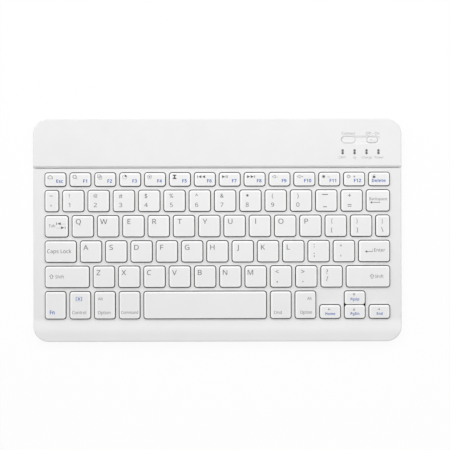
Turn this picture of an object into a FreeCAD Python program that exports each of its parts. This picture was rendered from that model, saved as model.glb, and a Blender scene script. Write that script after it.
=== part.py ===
import FreeCAD, Part

# Slim wireless tablet keyboard: covers, 78 keys on scissor frames and domes, and the electronics in
# the raised strip behind them. Millimetres, +X to the right, +Y to the rear and +Z up. The origin is
# on the table, under the middle of the body.

import math
import os
import re
from dataclasses import dataclass

import Sketcher
from FreeCAD import Placement, Rotation, Vector

# Every row of keys is this many key pitches wide.
ROW_PITCHES = 13.775
FUNCTION_KEYS = 14
MAIN_ROWS = 4
FILMS = 3
# How near two places are taken to be the same, and the most of a straight run that a bend takes up.
SAME_PLACE = 1e-4
BEND_SHARE = 0.45
# Corners of a rectangle, counted from the front left one, turning to the left.
FRONT_CORNERS, REAR_CORNERS = (0, 1), (2, 3)
ALL_CORNERS = FRONT_CORNERS + REAR_CORNERS

SIZES = {
    # keys
    "key_pitch": 17.03,
    "cap_space": 3.12,
    "key_clearance": 0.4,
    "function_cap_depth": 8.65,
    "bottom_cap_depth": 18.0,
    "half_cap_gap": 0.5,
    "cap_height": 2.6,
    "cap_rise": 2.3,
    "cap_roof": 1.0,
    "cap_wall": 0.9,
    "cap_corner": 1.5,
    "cap_bevel": 0.5,
    # body
    "side_margin": 8.27,
    "strip_depth": 33.6,
    "rear_land": 2.9,
    "front_depth": 15.6,
    "front_land": 1.2,
    "corner_radius": 10.5,
    "foot_height": 0.5,
    "parting_height": 1.9,
    "deck_height": 4.2,
    "strip_height": 6.1,
    "wall": 1.6,
    "floor_thickness": 1.0,
    "roof_thickness": 1.0,
    "deck_thickness": 1.0,
    "step_run": 2.0,
    "step_wall": 1.0,
    "ramp_run": 7.0,
    "edge_round": 1.0,
    "under_round": 1.6,
    "overcut": 1.0,
    # under the keys
    "plate_thickness": 0.3,
    "film_thickness": 0.1,
    "plate_room": 0.5,
    "scissor_room": 0.3,
    "scissor_slide": 1.9,
    "scissor_bar": 0.8,
    "scissor_thickness": 0.7,
    "scissor_gap": 0.1,
    "scissor_lift": 0.1,
    "pivot_radius": 0.15,
    "pivot_clearance": 0.05,
    "dome_radius": 2.8,
    "dome_top_share": 0.55,
    "dome_skin": 0.4,
    "dome_room": 0.2,
    "dome_lift": 0.15,
    "bar_radius": 0.35,
    "bar_leg": 4.0,
    "bar_bend": 1.4,
    "bar_room": 0.4,
    # controls on the strip
    "control_inset": 14.45,
    "control_recess": 0.35,
    "control_sink": 0.05,
    "control_clearance": 0.15,
    "recess_inset": 27.1,
    "recess_length": 26.0,
    "recess_width": 5.8,
    "button_inset": 35.7,
    "button_length": 9.2,
    "button_width": 4.7,
    "button_flange": 0.8,
    "button_travel": 0.4,
    "slider_inset": 19.75,
    "slider_length": 8.2,
    "slider_width": 4.7,
    "slider_travel": 2.5,
    "slider_stem_length": 2.4,
    "slider_stem_width": 1.6,
    "slider_collar_inset": 0.2,
    "stem_clearance": 0.15,
    "flange_thickness": 0.6,
    "flange_gap": 0.05,
    "light_inset": 22.5,
    "light_side_inset": 15.5,
    "light_pitch": 8.03,
    "light_length": 3.3,
    "light_width": 1.4,
    "light_clearance": 0.05,
    "light_bar_edge": 0.6,
    # charging socket
    "port_inset": 15.2,
    "port_recess": 0.4,
    "port_cut_width": 9.0,
    "port_cut_height": 3.2,
    "socket_width": 7.5,
    "socket_height": 2.5,
    "socket_length": 5.0,
    "socket_skin": 0.3,
    "tongue_width": 3.7,
    "tongue_thickness": 0.6,
    "tongue_length": 3.6,
    # electronics
    "board_length": 64.0,
    "board_thickness": 0.8,
    "board_room": 0.5,
    "board_front_room": 1.0,
    "board_rear_room": 0.7,
    "board_post_radius": 2.0,
    "board_post_inset": 3.0,
    "tact_side": 4.5,
    "plunger_radius": 1.0,
    "plunger_rise": 0.2,
    "plunger_gap": 0.15,
    "switch_length": 9.0,
    "switch_width": 4.0,
    "switch_gap": 0.4,
    "switch_channel": 0.5,
    "lamp_length": 1.6,
    "lamp_width": 0.8,
    "lamp_height": 0.6,
    "chip_side": 6.0,
    "chip_height": 0.9,
    "radio_length": 12.0,
    "radio_depth": 4.0,
    "radio_height": 1.4,
    "crystal_length": 3.2,
    "crystal_depth": 2.5,
    "crystal_height": 0.8,
    "plug_length": 4.0,
    "plug_depth": 5.0,
    "plug_height": 1.5,
    "tail_width": 24.0,
    "tail_reach": 6.0,
    "tail_inset": 34.0,
    "tail_clearance": 0.05,
    "battery_length": 80.0,
    "battery_side_room": 2.5,
    "battery_inset": 28.0,
    "battery_room": 0.4,
    "battery_round": 1.0,
    "tape_thickness": 0.2,
    "tape_width": 12.0,
    "lead_radius": 0.5,
    "lead_spacing": 1.6,
    "lead_sag": 4.0,
    # fasteners and feet
    "screw_inset": 6.0,
    "screw_side_inset": 12.0,
    "screw_radius": 0.85,
    "screw_head_radius": 1.5,
    "screw_head_height": 0.7,
    "screw_length": 4.0,
    "screw_sink": 0.05,
    "screw_clearance": 0.05,
    "post_radius": 2.3,
    "foot_radius": 4.5,
    "foot_seat": 0.4,
    "foot_clearance": 0.1,
    "foot_side_inset": 22.0,
    "foot_rear_inset": 15.2,
    "foot_front_inset": 6.7,
}

# What follows from those sizes. A name used here is spelled out down to the cells of the sheet.
DERIVED = {
    "field_width": f"{ROW_PITCHES} * key_pitch - cap_space",
    "field_depth": f"function_cap_depth + cap_space + {MAIN_ROWS} * key_pitch + bottom_cap_depth",
    "right_edge": "field_width / 2 + side_margin",
    "rear_edge": "(strip_depth + rear_land + field_depth + front_depth) / 2",
    "inner_right": "right_edge - wall",
    "inner_rear": "rear_edge - wall",
    "step_base": "rear_edge - strip_depth",
    "step_top": "step_base + step_run",
    "field_rear": "step_base - rear_land",
    "main_rear": "field_rear - function_cap_depth - cap_space",
    "bottom_rear": f"main_rear - {MAIN_ROWS} * key_pitch",
    "ramp_base": "bottom_rear - bottom_cap_depth - front_land",
    "ramp_top": "ramp_base - ramp_run",
    "floor_top": "foot_height + floor_thickness",
    "parting": "foot_height + parting_height",
    "deck_top": "foot_height + deck_height",
    "deck_under": "deck_top - deck_thickness",
    "strip_top": "foot_height + strip_height",
    "strip_under": "strip_top - roof_thickness",
    "plate_top": "floor_top + plate_thickness",
    "membrane_top": f"plate_top + {FILMS} * film_thickness",
    "cap_top": "deck_top + cap_rise",
    "cap_bottom": "cap_top - cap_height",
    "cap_under": "cap_top - cap_roof",
    "half_cap_depth": "(bottom_cap_depth - half_cap_gap) / 2",
    "unit_cap": "key_pitch - cap_space",
    "scissor_length": "unit_cap - 2 * cap_wall - 2 * scissor_room - scissor_slide",
    "plate_right": "inner_right - plate_room",
    "plate_rear": "step_base - plate_room",
    "control_y": "rear_edge - control_inset",
    "button_x": "right_edge - button_inset",
    "slider_x": "right_edge - slider_inset",
    "light_y": "rear_edge - light_inset",
    "flange_top": "strip_under - flange_gap",
    "flange_bottom": "flange_top - flange_thickness",
    "port_y": "rear_edge - port_inset",
    "port_mouth": "right_edge - port_recess",
    "board_bottom": "plate_top + film_thickness + tail_clearance",
    "board_top": "board_bottom + board_thickness",
    "port_z": "board_top + socket_height / 2",
    "board_right": "inner_right - board_room",
    "board_left": "board_right - board_length",
    "board_front": "step_top + step_wall + board_front_room",
    "board_rear": "rear_edge - screw_inset - post_radius - board_rear_room",
    "plunger_top": "flange_bottom - button_travel - plunger_gap",
    "tact_top": "plunger_top - plunger_rise",
    "switch_top": "flange_bottom - switch_gap",
    "channel_floor": "switch_top - switch_channel",
    "tail_x": "board_right - tail_inset",
    "battery_right": "battery_left + battery_length",
    "battery_left": "battery_inset - right_edge",
    "battery_front": "step_top + step_wall + battery_side_room",
    "battery_rear": "inner_rear - battery_side_room",
    "battery_y": "(battery_front + battery_rear) / 2",
    "battery_base": "floor_top + tape_thickness",
    "battery_top": "strip_under - battery_room",
    "plug_left": "board_left + board_room",
    "plug_y": "battery_y",
}

doc = FreeCAD.newDocument("tablet_keyboard")
sheet = doc.addObject("Spreadsheet::Sheet", "sizes")
subparts = []


def fill_sheet():
    """One row per driving size: its name, then its value under an alias of that name."""
    for row, (name, value) in enumerate(SIZES.items(), 1):
        sheet.set(f"A{row}", name)
        sheet.set(f"B{row}", str(value))
        sheet.setAlias(f"B{row}", name)
    doc.recompute()


def bound(text):
    """An expression on the sheet's cells, from a size or a sum of sizes by name."""

    def spelled(match):
        name = match.group()
        return f"({bound(DERIVED[name])})" if name in DERIVED else f"sizes.{name}"

    return re.sub(r"[a-z][a-z_]+", spelled, text)


def number(text):
    """The present value of a size or a sum of sizes, in millimetres."""
    return float(sheet.evalExpression(bound(text)))


def bind(obj, **sizes):
    """Ties an object's properties to sums of named sizes."""
    for name, text in sizes.items():
        obj.setExpression(name, bound(text))
    return obj


def put(obj, x="", y="", z=""):
    """Ties an object's place to sums of named sizes."""
    for axis, text in zip("xyz", (x, y, z)):
        if text:
            obj.setExpression(f"Placement.Base.{axis}", bound(text))
    return obj


def subpart(obj, label):
    """Names an object as a piece of the keyboard, which is written to a file of its own."""
    obj.Label = label
    subparts.append(obj)
    return obj


def middle(centre, size):
    """The two ends of a size that is centred on a place."""
    return f"{centre} - ({size}) / 2", f"{centre} + ({size}) / 2"


def block(name, x, y, z):
    """A box between two places on each axis."""
    obj = doc.addObject("Part::Box", name)
    ends = [f"({high}) - ({low})" for low, high in (x, y, z)]
    bind(obj, Length=ends[0], Width=ends[1], Height=ends[2])
    return put(obj, x[0], y[0], z[0])


def cylinder(name, x, y, z, radius):
    """An upright cylinder between two heights."""
    obj = doc.addObject("Part::Cylinder", name)
    return put(bind(obj, Radius=radius, Height=f"({z[1]}) - ({z[0]})"), x, y, z[0])


def cone(name, x, y, z, radii):
    """An upright cone between two heights, with its radius at each."""
    obj = doc.addObject("Part::Cone", name)
    bind(obj, Radius1=radii[0], Radius2=radii[1], Height=f"({z[1]}) - ({z[0]})")
    return put(obj, x, y, z[0])


def fuse(name, members):
    """Several solids joined into one."""
    obj = doc.addObject("Part::MultiFuse", name)
    obj.Shapes = members
    return obj


def group(name, members):
    """Several solids that stay apart in one node."""
    obj = doc.addObject("Part::Compound", name)
    obj.Links = members
    return obj


def cut(name, base, tools):
    """One solid with others taken out of it."""
    obj = doc.addObject("Part::Cut", name)
    obj.Base = base
    obj.Tool = tools[0] if len(tools) == 1 else group(f"{name}_tools", tools)
    return obj


def common(name, base, tool):
    """What two solids have in common."""
    obj = doc.addObject("Part::Common", name)
    obj.Base = base
    obj.Tool = tool
    return obj


def slot(name, x, y, z, length, width):
    """An upright prism with half-round ends, long in X or in Y."""
    reach = f"(({length}) - ({width})) / 2"
    straight = block(f"{name}_run", middle(x, f"({length}) - ({width})"), middle(y, width), z)
    ends = [cylinder(f"{name}_end", f"{x} {side} {reach}", y, z, f"({width}) / 2") for side in "+-"]
    return fuse(name, [straight, *ends])


def new_body(name):
    """An empty body for sketches and features."""
    return doc.addObject("PartDesign::Body", name)


def profile(body, name, points, arcs=None, height="", role="XY_Plane"):
    """A closed sketch through points given as pairs of named sizes, on a plane of its own body.

    The edge that leaves a point is straight, or an arc of the radius that arcs gives for the point.
    """
    arcs = arcs or {}
    sketch = body.newObject("Sketcher::SketchObject", name)
    plane = next(f for f in body.Origin.OriginFeatures if f.Role == role)
    sketch.AttachmentSupport = [(plane, "")]
    sketch.MapMode = "FlatFace"
    if height:
        sketch.setExpression("AttachmentOffset.Base.z", bound(height))
    ends = [Vector(number(x), number(y), 0) for x, y in points]
    for i, (start, end) in enumerate(zip(ends, ends[1:] + ends[:1])):
        if i in arcs:
            sketch.addGeometry(quarter_arc(start, end))
        else:
            sketch.addGeometry(Part.LineSegment(start, end))
    for i, texts in enumerate(points):
        sketch.addConstraint(Sketcher.Constraint("Coincident", i, 2, (i + 1) % len(points), 1))
        for kind, text in zip(("DistanceX", "DistanceY"), texts):
            datum(sketch, text, kind, -1, 1, i, 1)
        if i in arcs:
            datum(sketch, arcs[i], "Radius", i)
    return sketch


def quarter_arc(start, end):
    """A quarter circle from one point to another, turning to the left."""
    chord = end - start
    outward = Vector(chord.y, -chord.x, 0) * (math.sqrt(0.5) - 0.5)
    return Part.Arc(start, (start + end) / 2 + outward, end)


def datum(sketch, text, kind, *where):
    """A dimension of a sketch, tied to a sum of named sizes."""
    index = sketch.addConstraint(Sketcher.Constraint(kind, *where, number(text)))
    sketch.setExpression(f"Constraints[{index}]", bound(text))


def rectangle(body, name, x, y, height="", radius="", rounded=()):
    """A rectangular sketch between two places on each axis, with some of its corners rounded.

    Corners count from the one at low X and low Y, turning to the left.
    """
    front = [(x[0], y[0], "+", "+"), (x[1], y[0], "-", "+")]
    rear = [(x[1], y[1], "-", "-"), (x[0], y[1], "+", "-")]
    points, arcs = [], {}
    for i, (corner_x, corner_y, inward_x, inward_y) in enumerate(front + rear):
        if i not in rounded:
            points.append((corner_x, corner_y))
            continue
        arcs[len(points)] = radius
        on_level = (f"{corner_x} {inward_x} ({radius})", corner_y)
        on_upright = (corner_x, f"{corner_y} {inward_y} ({radius})")
        points += [on_upright, on_level] if i % 2 == 0 else [on_level, on_upright]
    return profile(body, name, points, arcs, height)


def pad(body, sketch, length):
    """The sketch raised into a solid."""
    feature = body.newObject("PartDesign::Pad", f"{sketch.Name}_pad")
    feature.Profile = sketch
    return bind(feature, Length=length)


def pocket(body, sketch, depth, upward=True, through=False):
    """The sketch cut up or down from its own plane, or both ways from it."""
    feature = body.newObject("PartDesign::Pocket", f"{sketch.Name}_pocket")
    feature.Profile = sketch
    feature.Reversed = upward
    if through:
        feature.SideType = "Symmetric"
    return bind(feature, Length=depth)


def dress(body, kind, chosen, **sizes):
    """A fillet or chamfer on the edges of the body so far that a test chooses."""
    doc.recompute()
    tip = body.Tip
    names = [f"Edge{i}" for i, edge in enumerate(tip.Shape.Edges, 1) if chosen(edge)]
    feature = body.newObject(f"PartDesign::{kind}", f"{body.Name}_{kind.lower()}")
    feature.Base = (tip, names)
    return bind(feature, **sizes)


def upright(edge):
    """Whether an edge is a straight upright one."""
    return abs(edge.BoundBox.ZLength - edge.Length) < SAME_PLACE


def at_height(edge, height):
    """Whether an edge lies level at a height."""
    return max(abs(edge.BoundBox.ZMin - height), abs(edge.BoundBox.ZMax - height)) < SAME_PLACE


def beside(edge, y):
    """Whether an edge lies in the plane across the body at a place along Y."""
    return max(abs(edge.BoundBox.YMin - y), abs(edge.BoundBox.YMax - y)) < SAME_PLACE


def on_side(edge, x):
    """Whether the middle of an edge lies at a distance to the left or right of the middle."""
    return abs(abs(edge.CenterOfMass.x) - x) < SAME_PLACE


@dataclass
class Key:
    """One key: the node that its cap is in, its centre and its cap's width and depth."""

    node: str
    x: str
    y: str
    width: str
    depth: str

    def cavity(self):
        """The room inside the cap, across X and along Y, in millimetres."""
        return number(f"{self.width} - 2 * cap_wall"), number(f"{self.depth} - 2 * cap_wall")


def letters(names):
    """A run of one-pitch letter keys."""
    return [(f"key_{name}", 1) for name in names]


# Each row, from the left: the node of each cap, and the pitches that the key takes up.
FUNCTION_ROW = [("function_keys", ROW_PITCHES / FUNCTION_KEYS)] * FUNCTION_KEYS
MAIN_ROW_KEYS = [
    [("number_keys", 0.697)] + [("number_keys", 1)] * 12 + [("editing_keys", 1.078)],
    [("editing_keys", 1.07)] + letters("qwertyuiop") + [("punctuation_keys", 1)] * 2
    + [("punctuation_keys", 0.705)],
    [("editing_keys", 1.39)] + letters("asdfghjkl") + [("punctuation_keys", 1)] * 2
    + [("editing_keys", 1.385)],
    [("editing_keys", 1.9)] + letters("zxcvbnm") + [("punctuation_keys", 1)] * 3
    + [("editing_keys", 1.875)],
]
BOTTOM_ROW = [("modifier_keys", 0.975)] * 4 + [("key_space", 5)] + [("modifier_keys", 0.975)] * 2
ARROW_KEY_PITCHES = 0.975


def row_of_keys(row, y, depth, start=0.0):
    """The keys of one row, laid side by side from a start counted in pitches."""
    keys = []
    for node, pitches in row:
        x = f"(0 - field_width - cap_space) / 2 + {start + pitches / 2:.6f} * key_pitch"
        keys.append(Key(node, x, y, f"{pitches:.6f} * key_pitch - cap_space", depth))
        start += pitches
    return keys


def arrow_keys():
    """The four half-depth arrow keys, which share the end of the bottom row."""
    start = ROW_PITCHES - 3 * ARROW_KEY_PITCHES
    middle_y = "bottom_rear - bottom_cap_depth / 2"
    shift = "(half_cap_depth + half_cap_gap) / 2"
    places = (("key_left", 0, "-"), ("key_up", 1, "+"), ("key_down", 1, "-"), ("key_right", 2, "-"))
    keys = []
    for node, column, side in places:
        row = [(node, ARROW_KEY_PITCHES)]
        y = f"{middle_y} {side} {shift}"
        keys += row_of_keys(row, y, "half_cap_depth", start + column * ARROW_KEY_PITCHES)
    return keys


def all_keys():
    """All 78 keys."""
    keys = row_of_keys(FUNCTION_ROW, "field_rear - function_cap_depth / 2", "function_cap_depth")
    for i, row in enumerate(MAIN_ROW_KEYS):
        keys += row_of_keys(row, f"main_rear - {i} * key_pitch - unit_cap / 2", "unit_cap")
    keys += row_of_keys(BOTTOM_ROW, "bottom_rear - bottom_cap_depth / 2", "bottom_cap_depth")
    return keys + arrow_keys()


def make_cap(key, index):
    """A keycap: a hollow cap with rounded corners and a bevelled rim, open underneath."""
    body = new_body(f"cap_{index}")
    around = (middle("0", key.width), middle("0", key.depth))
    plan = rectangle(body, f"cap_{index}_plan", *around, radius="cap_corner", rounded=ALL_CORNERS)
    pad(body, plan, "cap_height")
    height = number("cap_height")
    dress(body, "Chamfer", lambda e: at_height(e, height), Size="cap_bevel")
    inside = [middle("0", f"{size} - 2 * cap_wall") for size in (key.width, key.depth)]
    pocket(body, rectangle(body, f"cap_{index}_hollow", *inside), "cap_height - cap_roof")
    return put(body, key.x, key.y, "cap_bottom")


def make_caps(keys):
    """The caps, alone in a node or together with the rest of their bank."""
    nodes = {}
    for index, key in enumerate(keys):
        nodes.setdefault(key.node, []).append(make_cap(key, index))
    for node, caps in nodes.items():
        subpart(caps[0] if len(caps) == 1 else group(node, caps), node)


def rounded_block(width, depth, low, high, radius):
    """An upright block about the Z axis with its four upright edges rounded."""
    shape = Part.makeBox(width, depth, high - low, Vector(-width / 2, -depth / 2, low))
    return shape.makeFillet(radius, [e for e in shape.Edges if upright(e)])


def key_windows(keys):
    """The windows through the deck: one round each cap, and one round the up and down pair."""
    room = 2 * number("key_clearance")
    low, high = number("deck_under - overcut"), number("deck_top + overcut")
    radius = number("cap_corner + key_clearance")
    tools = []
    for key in keys:
        x, y, depth = number(key.x), number(key.y), number(key.depth)
        if key.node == "key_down":
            continue
        if key.node == "key_up":
            y, depth = number("bottom_rear - bottom_cap_depth / 2"), number("bottom_cap_depth")
        tool = rounded_block(number(key.width) + room, depth + room, low, high, radius)
        tools.append(tool.translated(Vector(x, y, 0)))
    feature = doc.addObject("Part::Feature", "key_windows")
    feature.Shape = Part.makeCompound(tools)
    return feature


def make_key_deck(keys):
    """The thin plate round the keys, with the side walls below it."""
    body = new_body("deck_blank")
    across, along = ("0 - right_edge", "right_edge"), ("ramp_base", "step_base")
    pad(body, rectangle(body, "deck_plan", across, along, "parting"), "deck_top - parting")
    top, right = number("deck_top"), number("right_edge")
    dress(body, "Fillet", lambda e: at_height(e, top) and on_side(e, right), Radius="edge_round")
    inside = rectangle(body, "deck_hollow", ("0 - inner_right", "inner_right"), along, "parting")
    pocket(body, inside, "deck_under - parting")
    subpart(cut("key_deck", body, [key_windows(keys)]), "key_deck")


def end_cover(name, plan, room, throat, slope, rounded):
    """A raised end of the upper case: its two outer corners rounded, its deck side cut to a slope.

    The plan, the room inside it and the throat under the slope are pairs of places along Y. The slope
    runs from the deck at its first place to the full height at its second.
    """
    body = new_body(name)
    outside, inside = ("0 - right_edge", "right_edge"), ("0 - inner_right", "inner_right")
    outline = rectangle(body, f"{name}_plan", outside, plan, "parting", "corner_radius", rounded)
    pad(body, outline, "strip_top - parting")
    join, top = number(slope[0]), number("strip_top")
    dress(body, "Fillet", lambda e: at_height(e, top) and not beside(e, join), Radius="edge_round")
    wedge = [(slope[0], "deck_top"), (slope[0], "strip_top"), (slope[1], "strip_top")]
    ramp = profile(body, f"{name}_slope", wedge, role="YZ_Plane")
    pocket(body, ramp, "2 * right_edge + 2 * overcut", through=True)
    lining = new_body(f"{name}_lining")
    reach = min(room[0], throat[0], key=number), max(room[1], throat[1], key=number)
    around = rectangle(lining, f"{name}_inside", inside, reach, "parting", "corner_radius - wall", rounded)
    pad(lining, around, "strip_under - parting")
    space = fuse(f"{name}_space", [
        block(f"{name}_room", inside, room, ("parting", "strip_under")),
        block(f"{name}_throat", inside, throat, ("parting", "deck_under")),
    ])
    return cut(f"{name}_shell", body, [common(f"{name}_hollow", lining, space)])


def screw_places(side):
    """The places of the three case screws along the rear or the front."""
    y = "rear_edge - screw_inset" if side == "rear" else "screw_inset - rear_edge"
    return [(x, y) for x in ("screw_side_inset - right_edge", "0", "right_edge - screw_side_inset")]


def with_posts(label, cover, side, cuts):
    """An end cover with its screw posts added, and its screw holes and other cuts taken out."""
    height, hole = ("floor_top", "strip_under"), ("floor_top", "screw_length + floor_top")
    posts = [cylinder(f"{label}_post", *at, height, "post_radius") for at in screw_places(side)]
    holes = [
        cylinder(f"{label}_pilot", *at, hole, "screw_radius + screw_clearance")
        for at in screw_places(side)
    ]
    subpart(cut(label, fuse(f"{label}_with_posts", [cover, *posts]), holes + cuts), label)


def lights():
    """The X place of each indicator light."""
    return [f"right_edge - light_side_inset - {i} * light_pitch" for i in range(4)]


def make_rear_cover():
    """The raised strip over the electronics, with the openings for its controls, lights and socket."""
    back = "step_top + step_wall"
    cover = end_cover("rear_blank", ("step_base", "rear_edge"), (back, "inner_rear"),
                      ("step_base - overcut", back), ("step_base", "step_top"), REAR_CORNERS)
    through = ("strip_under - overcut", "strip_top + overcut")
    spare, clear = "2 * control_clearance", "2 * light_clearance"
    cuts = [
        slot("control_recess", "right_edge - recess_inset", "control_y",
             ("strip_top - control_recess", "strip_top + overcut"), "recess_length", "recess_width"),
        slot("button_hole", "button_x", "control_y", through,
             f"button_length + {spare}", f"button_width + {spare}"),
        block("slider_slot",
              middle("slider_x - slider_travel / 2", f"slider_stem_length + slider_travel + {spare}"),
              middle("control_y", f"slider_stem_width + {spare}"), through),
        block("port_cut", ("inner_right - overcut", "right_edge + overcut"),
              middle("port_y", "port_cut_width"), ("parting - overcut", "port_z + port_cut_height / 2")),
    ]
    cuts += [
        block("light_slot", middle(x, f"light_width + {clear}"),
              middle("light_y", f"light_length + {clear}"), through)
        for x in lights()
    ]
    with_posts("rear_cover", cover, "rear", cuts)


def make_front_rail():
    """The ramp and lip along the front edge."""
    back = "ramp_top - step_wall"
    cover = end_cover("front_blank", ("0 - rear_edge", "ramp_base"), ("0 - inner_rear", back),
                      (back, "ramp_base + overcut"), ("ramp_base", "ramp_top"), FRONT_CORNERS)
    with_posts("front_rail", cover, "front", [])


def foot_places():
    """The places of the four feet."""
    across = ("foot_side_inset - right_edge", "right_edge - foot_side_inset")
    along = ("rear_edge - foot_rear_inset", "foot_front_inset - rear_edge")
    return [(x, y) for x in across for y in along]


def make_bottom_cover():
    """The tray: rounded under-edge, countersunk screw holes, foot seats and posts for the board."""
    body = new_body("tray")
    across, along = ("0 - right_edge", "right_edge"), ("0 - rear_edge", "rear_edge")
    plan = rectangle(body, "tray_plan", across, along, "foot_height", "corner_radius", ALL_CORNERS)
    pad(body, plan, "parting_height")
    base = number("foot_height")
    dress(body, "Fillet", lambda e: at_height(e, base), Radius="under_round")
    inside = ("0 - inner_right", "inner_right"), ("0 - inner_rear", "inner_rear")
    hollow = rectangle(body, "tray_hollow", *inside, "parting", "corner_radius - wall", ALL_CORNERS)
    pocket(body, hollow, "parting - floor_top", upward=False)
    inset = "board_post_inset"
    posts = [
        cylinder("board_post", x, y, ("floor_top", "board_bottom"), "board_post_radius")
        for x in (f"board_left + {inset}", f"board_right - {inset}")
        for y in (f"board_front + {inset}", f"board_rear - {inset}")
    ]
    wide, narrow = "screw_head_radius + 2 * screw_clearance", "screw_radius + screw_clearance"
    head = ("foot_height", "foot_height + screw_sink + screw_head_height")
    cuts = []
    for place in screw_places("rear") + screw_places("front"):
        cuts.append(cone("countersink", *place, head, (wide, narrow)))
        cuts.append(cylinder("screw_way", *place, ("foot_height", "floor_top + overcut"), narrow))
    seat = ("foot_height - overcut", "foot_height + foot_seat")
    cuts += [cylinder("foot_hole", *at, seat, "foot_radius + foot_clearance") for at in foot_places()]
    subpart(cut("bottom_cover", fuse("tray_with_posts", [body, *posts]), cuts), "bottom_cover")


def make_fasteners_and_feet():
    """Six countersunk case screws, and four rubber feet."""
    screws = []
    base = "foot_height + screw_sink"
    for place in screw_places("rear") + screw_places("front"):
        head = cone("screw_head", *place, (base, f"{base} + screw_head_height"),
                    ("screw_head_radius", "screw_radius"))
        shank = cylinder("screw_shank", *place,
                         (f"{base} + screw_head_height", f"{base} + screw_length"), "screw_radius")
        screws.append(fuse("screw", [head, shank]))
    subpart(group("case_screws", screws), "case_screws")
    height = ("0", "foot_height + foot_seat")
    feet = [cylinder("foot", *place, height, "foot_radius") for place in foot_places()]
    subpart(group("rubber_feet", feet), "rubber_feet")


def make_plate_and_membrane():
    """The steel plate on the tray's floor, the three films on it, and the tail to the board."""
    across = ("0 - plate_right", "plate_right")
    along = ("ramp_base + plate_room", "plate_rear")
    subpart(block("key_plate", across, along, ("floor_top", "plate_top")), "key_plate")
    films = []
    for i in range(FILMS):
        level = (f"plate_top + {i} * film_thickness", f"plate_top + {i + 1} * film_thickness")
        films.append(block(f"film_{i}", across, along, level))
    tail_across, tail_end = middle("tail_x", "tail_width"), "board_front + tail_reach"
    level = ("plate_top", "plate_top + film_thickness")
    tail = block("film_tail", tail_across, ("plate_rear", tail_end), level)
    films[0] = fuse("film_with_tail", [films[0], tail])
    subpart(group("membrane", films), "membrane")
    pad_block = block("tail_pad", tail_across, ("board_front", tail_end), ("floor_top", "plate_top"))
    subpart(pad_block, "tail_pad")


def frame_ring(length, width, bar, thickness):
    """A flat rectangular frame about the origin, long in Y."""
    outer = Part.makeBox(width, length, thickness, Vector(-width / 2, -length / 2, -thickness / 2))
    hole = Vector(2 * bar - width, 2 * bar - length, -2 * thickness) / 2
    return outer.cut(Part.makeBox(width - 2 * bar, length - 2 * bar, 2 * thickness, hole))


def pivot(width, radius):
    """A round bar across the frames, on the axis that the pair folds about."""
    return Part.makeCylinder(radius, width, Vector(-width / 2, 0, 0), Vector(1, 0, 0))


def scissor_pair(width):
    """The outer and inner frame of one key, crossed at rest about their pivot, and the room inside."""
    length, bar, thickness, gap, reach, slack = (
        number(name) for name in ("scissor_length", "scissor_bar", "scissor_thickness",
                                  "scissor_gap", "pivot_radius", "pivot_clearance"))
    inner_width = width - 2 * bar - 2 * gap
    bore = pivot(width + 2 * number("overcut"), reach + slack)
    outer = frame_ring(length, width, bar, thickness).cut(bore)
    clear = inner_width - 2 * bar
    pins = pivot(inner_width + 2 * gap + bar, reach).cut(pivot(clear, 2 * reach))
    inner = frame_ring(length, inner_width, bar, thickness).fuse(pins)
    rise = number("(cap_under - membrane_top) / 2 - scissor_lift")
    tilt = math.asin(rise / math.hypot(length / 2, thickness / 2)) - math.atan2(thickness, length)
    axis = Vector(1, 0, 0)
    outer.rotate(Vector(), axis, math.degrees(tilt))
    inner.rotate(Vector(), axis, -math.degrees(tilt))
    return outer, inner, clear


def dome_shape(radius):
    """A hollow rubber dome on the membrane, about the Z axis."""
    share, skin = number("dome_top_share"), number("dome_skin")
    height = number("cap_under - dome_lift - membrane_top")
    at = Vector(0, 0, number("membrane_top"))
    outer = Part.makeCone(radius, radius * share, height, at)
    return outer.cut(Part.makeCone(radius - skin, (radius - skin) * share, height - skin, at))


def stabilizer_shape(width, depth):
    """A bent wire under a wide cap: a long run by the rear wall, and a leg down at each end."""
    radius, leg = number("bar_radius"), number("bar_leg")
    side = width / 2 - radius - number("bar_room")
    high = number("cap_under - bar_room") - radius
    tilt = math.asin((high - number("membrane_top + scissor_lift") - radius) / leg)
    corners = [Vector(-side, -leg, 0), Vector(-side, 0, 0), Vector(side, 0, 0), Vector(side, -leg, 0)]
    section = Part.Wire(Part.makeCircle(radius, corners[0], Vector(0, 1, 0)))
    wire = rounded_path(corners, number("bar_bend")).makePipeShell([section], True, True)
    wire.rotate(Vector(), Vector(1, 0, 0), math.degrees(tilt))
    return wire.translated(Vector(0, depth / 2 - radius - number("bar_room"), high))


def rounded_path(corners, radius=0.0):
    """Straight runs through corners, joined by tangent arcs of a radius, or as large as they allow."""
    edges, start = [], corners[0]
    for before, corner, after in zip(corners, corners[1:], corners[2:]):
        to_last, to_next = before - corner, after - corner
        half_turn = (math.pi - to_last.getAngle(to_next)) / 2
        longest = BEND_SHARE * min(to_last.Length, to_next.Length)
        tangent = radius * math.tan(half_turn) if radius else longest
        bend = tangent / math.tan(half_turn)
        to_last.normalize()
        to_next.normalize()
        inward = to_last + to_next
        inward.normalize()
        centre = corner + inward * (bend / math.cos(half_turn))
        first, last = corner + to_last * tangent, corner + to_next * tangent
        edges.append(Part.LineSegment(start, first).toShape())
        edges.append(Part.Arc(first, centre - inward * bend, last).toShape())
        start = last
    edges.append(Part.LineSegment(start, corners[-1]).toShape())
    return Part.Wire(edges)


# A cap at least this many times as wide as a one-pitch cap has a stabilizer bar, and from the second
# figure on it has two scissor pairs and two domes.
BAR_FROM, TWO_PAIRS_FROM = 1.4, 4.0


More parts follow.
